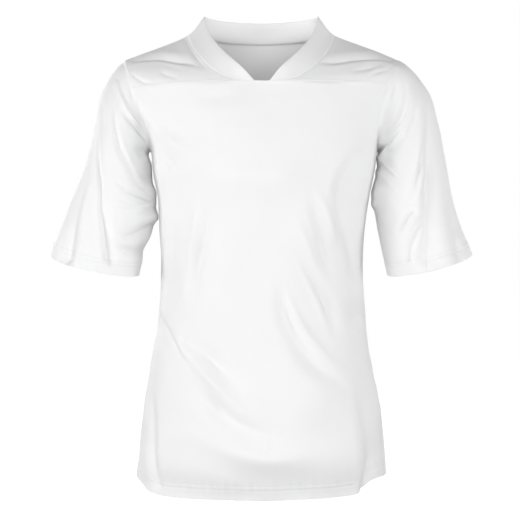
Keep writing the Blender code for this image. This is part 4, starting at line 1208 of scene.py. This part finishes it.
def armhole_loop(side, count=None):
    """The armhole seam from the armpit up the back, over the tip and down the front.

    Gives its points, the cloth's normals and the angles round the sleeve, 0 at the tip."""
    height = np.linspace(1.0, 0.0, ARMHOLE_SAMPLES)
    climbs = {}
    for face in ("front", "back"):
        hem = hem_height(face, float(side))
        foot = (ARMPIT_HEIGHT - hem) / (seam_height(face, float(side)) - hem)
        climbs[face] = foot + (1.0 - foot) * height ** ARMPIT_CROWDING
    one = np.full_like(height, float(side))
    parts = (
        (lambda a, b: yoke_front(side, a, b), np.ones_like(height), height, side),
        (lambda a, b: torso("front", a, b), one, climbs["front"], 1),
        (lambda a, b: torso("back", a, b), one, climbs["back"][::-1], -1),
        (yoke_back, one, height, 1),
    )
    points = []
    normals = []
    for surface, first, second, flip in parts:
        points.append(surface(first, second)[:-1])
        normals.append((surface_normal(surface, first, second) * flip)[:-1])
    points = np.concatenate(points + [points[0][:1]])
    normals = np.concatenate(normals + [normals[0][:1]])
    walked = run_lengths(points, 0)
    pit = int(np.argmin(points[:-1, 2]))
    front = walked[:pit + 1] / walked[pit]
    back = 1.0 + (walked[pit + 1:] - walked[pit]) / (walked[-1] - walked[pit])
    turn = np.concatenate([front, back])
    if count is None:
        count = int(walked[-1] / LINE_STEP)
    at = (walked[pit] + np.linspace(0.0, walked[-1], count, endpoint=False)) % walked[-1]
    return (points_at(at, walked, points), unit(points_at(at, walked, normals)),
            -np.pi * np.interp(at, walked, turn))


# ---------------------------------------------------------------- front and back panels
MIDDLE_UP = 0.35        # where a panel's columns are spaced evenly
SIDE_GATHERS = 0.35     # how much a side seam draws the cloth up


def sheet_step(grid):
    """Spacing of a sheet's rows in millimetres."""
    return grid / MM * 1.0


def panel_sheet(face, creases, cloth):
    """Outer sheet of a panel, with its creases and the relief of its sewing."""
    def level(places):
        return torso(face, places, MIDDLE_UP)

    def form(across, up):
        return torso(face, across, up)

    flip = 1 if face == "front" else -1
    step = sheet_step(cloth.grid)
    across = places_at(level, -1.0, 1.0, SEAM_ROWS, SEAM_ROWS, step)
    half = np.abs(level(np.array([-1.0, 1.0]))[:, 0])
    across[[0, -1]] *= 1.0 - SEAM_TRIM / half
    length = seam_height(face, across) - hem_height(face, across)
    up = spaced(length, HEM_ROWS, SEAM_ROWS, step) / length
    up[-1] -= SEAM_TRIM / length
    across = np.broadcast_to(across, up.shape)
    plain = form(across, up)
    normals = surface_normal(form, across, up) * flip
    seams = [(yoke_seam_line(face), 0.0), (edge_line(face, LEFT), SIDE_GATHERS),
             (edge_line(face, RIGHT), SIDE_GATHERS)]
    relief, ease = seams_relief(plain, seams)
    height = crease_height(creases, plain, cloth.crease) + wave_height(plain, cloth.crease)
    height = height * ease + relief + hem_relief(plain, hem_line(face), HEM_DEPTH)
    return Sheet(plain + normals * (height + cloth.thickness / MM / 2)[..., None], flip)


def build_panel(name, face, creases, context):
    """Front or back panel with its hem stitches."""
    cloth = context.scene.jersey_cloth
    sheet = panel_sheet(face, creases, cloth)
    piece = cloth_piece(name + "_cloth", [sheet], cloth)
    lines = needle_lines(sheet, (FIRST_NEEDLE, SECOND_NEEDLE))
    stitches = sew_rows(name + "_hem_stitches", lines, context.scene.jersey_sewing)
    place_piece(piece, name, [stitches])


def place_piece(piece, node, threads):
    """A piece that stands for a solid, and its threads, ride on the jersey's one body."""
    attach(piece, "root")
    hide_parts(node)
    for item in threads:
        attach(item, "root")


# ---------------------------------------------------------------- yoke
HEAD_GATHERS = 0.6      # how much the armhole seam draws the yoke up
SHOULDER_RUN = 90.0     # about the length of a shoulder line, to trim its end
YOKE_RISE = 60.0        # about the height of the yoke's front, to trim its foot
NECK_RISE = 30.0        # and about that of its first part beside the V
FRONT_SPACING = 0.5     # where across the yoke's front its rows are spaced evenly
BACK_SPACING = 0.8      # and across its back


def yoke_sheets(cloth):
    """The yoke's two fronts and its back, which join along the shoulder lines."""
    step = sheet_step(cloth.fine_grid)
    edges = (yoke_seam_line("front"), yoke_seam_line("back"))
    seams = [(edges[0], 0.0), (edges[1], 0.0), (neck_line(), 0.0),
             (armhole_loop(LEFT)[0], HEAD_GATHERS), (armhole_loop(RIGHT)[0], HEAD_GATHERS)]

    def sheet(surface, first, second, flip, creases, ridge):
        second, first = np.meshgrid(second, first, indexing="ij")
        plain = surface(first, second)
        normals = surface_normal(surface, first, second) * flip
        relief, ease = seams_relief(plain, seams)
        ease = ease * smooth(np.abs(second - ridge) / RIDGE_EASE)
        height = crease_height(creases, plain, cloth.crease) * ease + relief
        for edge in edges:
            away = from_line(plain, edge)[0]
            height += YOKE_EDGE_LIFT * smooth((YOKE_EDGE_WIDTH - away) / YOKE_EDGE_EASE)
        return plain, normals, height + cloth.thickness / MM / 2

    overs = places_at(lambda p: shoulder_line(LEFT, p), 0.0, 1.0, SEAM_ROWS, SEAM_ROWS, step)
    overs[-1] -= SEAM_TRIM / SHOULDER_RUN
    fronts = []
    for side in (LEFT, RIGHT):
        rises = places_at(lambda p: yoke_front(side, FRONT_SPACING, p), 0.0, 1.0,
                          SEAM_ROWS, (0.0,), step)
        rises[0] = SEAM_TRIM / YOKE_RISE
        fronts.append(sheet(lambda a, b: yoke_front(side, a, b), overs, rises, side,
                            YOKE_CREASES, 1.0))
    neck_half = places_at(lambda p: yoke_back(p, 0.0), 0.0, BACK_NECK, (0.0,), SEAM_ROWS, step)
    half = np.concatenate([neck_half[:-1], BACK_NECK + (1.0 - BACK_NECK) * overs])
    across = np.concatenate([-half[:0:-1], half])
    falls = places_at(lambda p: yoke_back(BACK_SPACING, p), 0.0, 1.0, (0.0,), SEAM_ROWS, step)
    falls[-1] -= SEAM_TRIM / BACK_YOKE_PULL
    back = sheet(yoke_back, across, falls, 1, YOKE_BACK_CREASES, 0.0)
    # Along each shoulder line the front's last row and the back's first one become the same.
    count = len(overs)
    shoulders = (slice(count - 1, None, -1), slice(len(across) - count, None))
    plain, normals, height = back
    for front, spots in zip(fronts, shoulders):
        front[0][-1] = plain[0, spots]
        front[1][-1] = normals[0, spots] = unit(front[1][-1] + normals[0, spots])
        front[2][-1] = height[0, spots] = (front[2][-1] + height[0, spots]) / 2
    return [Sheet(plain + normals * height[..., None], flip)
            for (plain, normals, height), flip in zip((*fronts, back), (LEFT, RIGHT, 1))]


# ---------------------------------------------------------------- sleeves
SLEEVE_SAMPLES = 80     # places at which a sleeve's length is measured


def sleeve_form(side, count):
    """The sleeve's rounds from the armhole down, as places, points and slopes, and the
    normals at the armhole."""
    points, normals, angles = armhole_loop(side, count)
    ahead = unit(np.roll(points, -1, axis=0) - np.roll(points, 1, axis=0))
    out = unit(np.cross(normals, ahead)) * side
    turned = np.minimum(np.abs(angles + np.pi), np.abs(angles - np.pi))
    underarm = bell(turned / UNDERARM_REACH)
    lean = unit(out + underarm[:, None] * np.array([side * UNDERARM_SPREAD, 0.0, 0.0]))
    rounds = [points + out * SEAM_TRIM]
    for row in SLEEVES[side]:
        outer = np.array([side * row.out_x, row.middle, row.out_z])
        inner = np.array([side * row.in_x, row.middle, row.in_z])
        swing = np.array([0.0, row.depth, row.dip])
        rounds.append((outer + inner) / 2 + np.cos(angles)[:, None] * (outer - inner) / 2
                      + np.sin(angles)[:, None] * swing)
    rounds = np.array(rounds)
    places = np.array([0.0] + [row.along for row in SLEEVES[side]])
    slopes = np.gradient(rounds, places, axis=0)
    pull = np.maximum(SLEEVE_PULL * np.linalg.norm(rounds[1] - rounds[0], axis=1), SLEEVE_TURN)
    slopes[0] = lean * pull[:, None] / places[1]
    return places, rounds, slopes, normals


def sleeve_points(form, along):
    """Points of the sleeve, for a grid of places along it, one column for each armhole point."""
    places, rounds, slopes = form
    row = np.clip(np.searchsorted(places, along) - 1, 0, len(places) - 2)
    spots = np.broadcast_to(np.arange(rounds.shape[1]), along.shape)
    span = places[row + 1] - places[row]
    share = (along - places[row]) / span
    return hermite(rounds[row, spots], slopes[row, spots] * span[..., None],
                   rounds[row + 1, spots], slopes[row + 1, spots] * span[..., None], share)


def sleeve_sheet(side, cloth):
    """Outer sheet of a sleeve, closed round; the last column meets the first."""
    step = sheet_step(cloth.fine_grid)
    seam = armhole_loop(side)[0]
    count = int(len(seam) * LINE_STEP / step)
    *form, seam_normals = sleeve_form(side, count)
    samples = np.linspace(0.0, 1.0, SLEEVE_SAMPLES)[:, None] + np.zeros(count)
    walked = run_lengths(sleeve_points(form, samples), 0)
    wanted = spaced(walked[-1], SEAM_ROWS, HEM_ROWS, step)
    along = np.stack([np.interp(wanted[:, spot], walked[:, spot], samples[:, spot])
                      for spot in range(count)], axis=1)
    plain = sleeve_points(form, along)
    round_it = np.roll(plain, -1, axis=1) - np.roll(plain, 1, axis=1)
    down = sleeve_points(form, along + STEP) - sleeve_points(form, along - STEP)
    normals = unit(np.cross(round_it, down)) * side
    normals[0] = seam_normals
    facing = normals[..., 1]
    mirrored = plain * (side, 1.0, 1.0)
    front = crease_height(SLEEVE_CREASES[side], plain, cloth.crease)
    back = crease_height(SLEEVE_BACK_CREASES, mirrored, cloth.crease)
    height = (front * smooth((FACING_START - facing) / FACING_EASE)
              + back * smooth((FACING_START + facing) / FACING_EASE)
              + wave_height(plain, cloth.crease))
    relief, ease = seams_relief(plain, [(seam, 1.0)])
    cuff_line = even_line(np.concatenate([plain[-1], plain[-1, :1]]))
    height = height * ease + relief + hem_relief(plain, cuff_line, CUFF_DEPTH)
    points = plain + normals * (height + cloth.thickness / MM / 2)[..., None]
    return Sheet(np.concatenate([points, points[:, :1]], axis=1), side)


# ---------------------------------------------------------------- collar band
BAND_ROWS = 9
BAND_EDGE_ARC = 5
OVERLOCK_FROM = 15.0    # the seam inside the back of the neck is bound from here backwards
OVERLOCK_SHARE = 0.6    # and up to so much of the band's first row


def band_profile(seam, edge, normals, thickness):
    """Closed rounds of a doubled band: up its outside, over the fold and down its inside."""
    straight = edge - seam
    leave = straight - normals * np.sum(straight * normals, axis=1, keepdims=True)
    leave = unit(leave) * np.linalg.norm(straight, axis=1, keepdims=True)
    seam = seam + unit(leave) * SEAM_TRIM
    shares = np.linspace(0.0, 1.0, BAND_ROWS)
    middle = np.array([hermite(seam, leave, edge, straight, np.full(len(seam), s)) for s in shares])
    ahead = np.gradient(middle, axis=1)
    across = np.gradient(middle, axis=0)
    facing = -unit(np.cross(ahead, across))
    facing[0] = normals
    out = thickness / 2
    rows = [middle[i] + facing[i] * out for i in range(BAND_ROWS)]
    tip = unit(straight)
    for turn in np.linspace(np.pi / 2, -np.pi / 2, BAND_EDGE_ARC + 2)[1:-1]:
        rows.append(middle[-1] + out * (np.sin(turn) * facing[-1] + np.cos(turn) * tip))
    rows += [middle[i] - facing[i] * out for i in range(BAND_ROWS - 1, -1, -1)]
    rows.append(rows[0])
    return np.array(rows)


def band_points(cloth):
    """The collar band's rounds, from the left foot of the V to the right one."""
    step = sheet_step(cloth.grid)
    halves = []
    for side in (LEFT, RIGHT):
        rise = places_at(lambda p: yoke_front(side, 0.0, p), 0.0, 1.0, SEAM_ROWS, (0.0,), step)
        rise[0] = SEAM_TRIM / NECK_RISE
        facing = surface_normal(lambda a, b: yoke_front(side, a, b), 0.0, rise) * side
        halves.append((yoke_front(side, 0.0, rise), neck_curve(side, rise * NECK_POINT, "edge"),
                       facing))
    half = places_at(lambda p: yoke_back(p, 0.0), 0.0, BACK_NECK, (0.0,), (0.0,), step)
    inner = np.concatenate([-half[-2:0:-1], half[:-1]])
    row = BACK_MIDDLE - (BACK_MIDDLE - NECK_POINT) * np.abs(inner) / BACK_NECK
    back_edge = on_side(inner, lambda side: neck_curve(side, row, "edge"))
    back = (yoke_back(inner, 0.0), back_edge, surface_normal(yoke_back, inner, 0.0))
    seam, edge, facing = (np.concatenate([left, behind, right[::-1]])
                          for left, behind, right in zip(halves[0], back, halves[1]))
    return band_profile(seam, edge, facing, cloth.band_thickness / MM)


# ---------------------------------------------------------------- operators
class JERSEY_OT_front_panel(bpy.types.Operator):
    """Make the front panel"""

    bl_idname = "jersey.front_panel"
    bl_label = "Front Panel"

    def execute(self, context):
        """Lay out the sheet and sew its hem."""
        build_panel("front_panel", "front", FRONT_CREASES, context)
        return {"FINISHED"}


class JERSEY_OT_back_panel(bpy.types.Operator):
    """Make the back panel"""

    bl_idname = "jersey.back_panel"
    bl_label = "Back Panel"

    def execute(self, context):
        """Lay out the sheet and sew its hem."""
        build_panel("back_panel", "back", BACK_CREASES, context)
        return {"FINISHED"}


class JERSEY_OT_yoke(bpy.types.Operator):
    """Make the yoke over both shoulders"""

    bl_idname = "jersey.yoke"
    bl_label = "Yoke"

    def execute(self, context):
        """Lay out the three sheets and sew along the front and back seams."""
        cloth = context.scene.jersey_cloth
        left, right, back = yoke_sheets(cloth)
        piece = cloth_piece("yoke_cloth", [left, right, back], cloth)
        lines = needle_lines(left, (YOKE_NEEDLE,)) + needle_lines(right, (YOKE_NEEDLE,))
        lines += needle_lines(back, (-1 - YOKE_NEEDLE,))
        stitches = sew_rows("yoke_stitches", lines, context.scene.jersey_sewing)
        place_piece(piece, "yoke", [stitches])
        return {"FINISHED"}


class JERSEY_OT_sleeves(bpy.types.Operator):
    """Make the two half sleeves"""

    bl_idname = "jersey.sleeves"
    bl_label = "Sleeves"

    def execute(self, context):
        """Lay out each sleeve and sew its cuff."""
        cloth = context.scene.jersey_cloth
        for side in (LEFT, RIGHT):
            name = "sleeve_" + SIDE_NAMES[side]
            sheet = sleeve_sheet(side, cloth)
            piece = cloth_piece(name + "_cloth", [sheet], cloth)
            lines = needle_lines(sheet, (-1 - FIRST_NEEDLE, -1 - SECOND_NEEDLE))
            stitches = sew_rows(name + "_cuff_stitches", lines, context.scene.jersey_sewing)
            place_piece(piece, name, [stitches])
        return {"FINISHED"}


class JERSEY_OT_collar_band(bpy.types.Operator):
    """Make the doubled collar band"""

    bl_idname = "jersey.collar_band"
    bl_label = "Collar Band"

    def execute(self, context):
        """Fold the band over its edge, close its two ends and bind its seam behind."""
        cloth = context.scene.jersey_cloth
        rounds = band_points(cloth)
        mesh = joined_sheets([Sheet(rounds, -1)])
        bmesh.ops.holes_fill(mesh, edges=[edge for edge in mesh.edges if edge.is_boundary], sides=0)
        bmesh.ops.recalc_face_normals(mesh, faces=mesh.faces[:])
        piece = finish_mesh("collar_band_cloth", mesh, knit("band_knit", cloth))
        behind = rounds[-2][:, 1] > OVERLOCK_FROM
        low = rounds[-2][behind]
        high = low + (rounds[-3][behind] - low) * OVERLOCK_SHARE
        normals = grid_normals(rounds, -1)[-2][behind]
        binding = overlock("collar_band_overlock", low * MM, high * MM, normals,
                           context.scene.jersey_sewing)
        place_piece(piece, "collar_band", [binding])
        return {"FINISHED"}


class JERSEY_OT_stage(bpy.types.Operator):
    """Make the floor, the lights and the camera"""

    bl_idname = "jersey.stage"
    bl_label = "Stage"

    def execute(self, context):
        """Set a pale floor, soft lights all round and a level camera."""
        stage = context.scene.jersey_stage
        add_floor(stage)
        add_lights(stage)
        add_camera(stage)
        return {"FINISHED"}


# ---------------------------------------------------------------- stage
FLOOR_SIZE = 14.0
FLOOR_ROUGHNESS = 0.9
SKY_TOP = 0.4           # light from above and below, as a share of that from all round

# Light boxes: place, width and height, and the setting that holds their power, with the share
# of it that they have.
LightBox = namedtuple("LightBox", "name place width height setting share")
LIGHT_BOXES = (
    LightBox("left_light", (-2.9, -1.7, -0.1), 1.3, 1.3, "left_power", 1.0),
    LightBox("right_light", (2.9, -1.8, -0.1), 1.3, 1.3, "right_power", 1.0),
    LightBox("front_light", (-0.3, -3.4, -0.4), 3.2, 1.0, "front_power", 1.0),
    LightBox("back_light", (-1.9, 3.0, 0.5), 1.3, 1.3, "back_power", 1.0),
    LightBox("back_fill", (2.4, 2.4, 0.0), 1.3, 1.3, "back_power", 0.45),
)
NECK_BOX = LightBox("neck_light", (0.0, -0.04, -0.03), 0.06, 0.06, "neck_power", 1.0)
NECK_TARGET = (0.0, 0.07, -0.02)


def add_floor(stage):
    """A plain pale floor below the hem."""
    mesh = bmesh.new()
    bmesh.ops.create_grid(mesh, x_segments=2, y_segments=2, size=FLOOR_SIZE / 2)
    bmesh.ops.translate(mesh, verts=mesh.verts[:], vec=(0.0, 0.0, CAD_BOX[0][2] - stage.floor_drop))
    material, shader, start = new_material("pale_floor", FLOOR_ROUGHNESS, 0.0)
    shader.inputs["Base Color"].default_value = (*stage.floor_colour, 1.0)
    shader.inputs["Emission Color"].default_value = (1.0, 1.0, 1.0, 1.0)
    seen = start.node("ShaderNodeLightPath", output="Is Camera Ray")
    (seen * stage.floor_glow).into(shader, "Emission Strength")
    floor = finish_mesh("floor", mesh, material)


def add_light(box, stage, target):
    """A soft light box that faces a point."""
    data = bpy.data.lights.new(box.name, "AREA")
    data.shape = "RECTANGLE"
    data.size = box.width
    data.size_y = box.height
    data.energy = getattr(stage, box.setting) * box.share
    light = bpy.data.objects.new(box.name, data)
    light.location = box.place
    light.visible_camera = False
    light.rotation_euler = direction_angles(np.array(target) - np.array(box.place))
    bpy.context.scene.collection.objects.link(light)


def direction_angles(facing):
    """Turns that point an object's -Z axis along a direction, with its top upwards."""
    flat = np.hypot(facing[0], facing[1])
    tilt = np.arctan2(flat, -facing[2])
    return (tilt, 0.0, np.arctan2(facing[1], facing[0]) - np.pi / 2)


def add_lights(stage):
    """The light boxes, the small one in the neck, and light from all round."""
    for box in LIGHT_BOXES:
        add_light(box, stage, stage.view_centre)
    add_light(NECK_BOX, stage, NECK_TARGET)
    world = bpy.data.worlds.new("studio")
    world.use_nodes = True
    sky = world.node_tree.nodes["Background"]
    sky.inputs["Color"].default_value = (1.0, 1.0, 1.0, 1.0)
    start = Socket(world.node_tree, None)
    seen = start.node("ShaderNodeLightPath", output="Is Camera Ray")
    towards = start.node("ShaderNodeTexCoord", output="Generated")
    height = start.node("ShaderNodeSeparateXYZ", {0: towards}, output="Z")
    light = stage.sky * (1.0 - (1.0 - SKY_TOP) * (height * height))
    (light + (1.0 - light) * seen).into(sky, "Strength")
    bpy.context.scene.world = world
    bpy.context.scene.view_settings.view_transform = "Standard"


def add_camera(stage):
    """A level camera in front of the jersey."""
    data = bpy.data.cameras.new("camera")
    data.lens = data.sensor_width * stage.camera_distance / stage.view_width
    camera = bpy.data.objects.new("camera", data)
    centre = stage.view_centre
    camera.location = (centre[0], centre[1] - stage.camera_distance, centre[2])
    camera.rotation_euler = (np.pi / 2, 0.0, 0.0)
    bpy.context.scene.collection.objects.link(camera)
    bpy.context.scene.camera = camera


# ---------------------------------------------------------------- panel and registration
class JERSEY_PT_pieces(bpy.types.Panel):
    """Sidebar panel with a button for each piece"""

    bl_idname = "JERSEY_PT_pieces"
    bl_label = "Jersey"
    bl_space_type = "VIEW_3D"
    bl_region_type = "UI"
    bl_category = "Jersey"

    def draw(self, context):
        """List the settings and the operators."""
        for name in SETTINGS:
            group = getattr(context.scene, name)
            box = self.layout.box()
            for setting in group.__annotations__:
                box.prop(group, setting)
        for operator in OPERATORS:
            self.layout.operator(operator.bl_idname)


OPERATORS = (
    JERSEY_OT_front_panel,
    JERSEY_OT_back_panel,
    JERSEY_OT_yoke,
    JERSEY_OT_sleeves,
    JERSEY_OT_collar_band,
    JERSEY_OT_stage,
)
SETTINGS = {
    "jersey_cloth": JerseyCloth,
    "jersey_sewing": JerseySewing,
    "jersey_stage": JerseyStage,
}


def register():
    """Register the settings, the operators and the panel."""
    for name, group in SETTINGS.items():
        bpy.utils.register_class(group)
        setattr(bpy.types.Scene, name, bpy.props.PointerProperty(type=group))
    for operator in OPERATORS:
        bpy.utils.register_class(operator)
    bpy.utils.register_class(JERSEY_PT_pieces)


def unregister():
    """Remove the panel, the operators and the settings."""
    bpy.utils.unregister_class(JERSEY_PT_pieces)
    for operator in reversed(OPERATORS):
        bpy.utils.unregister_class(operator)
    for name, group in SETTINGS.items():
        delattr(bpy.types.Scene, name)
        bpy.utils.unregister_class(group)


def main():
    """Register the add-on, and make every piece and the stage."""
    register()
    bpy.ops.jersey.stage()
    bpy.ops.jersey.front_panel()
    bpy.ops.jersey.back_panel()
    bpy.ops.jersey.yoke()
    bpy.ops.jersey.sleeves()
    bpy.ops.jersey.collar_band()


if __name__ == "__main__":
    main()
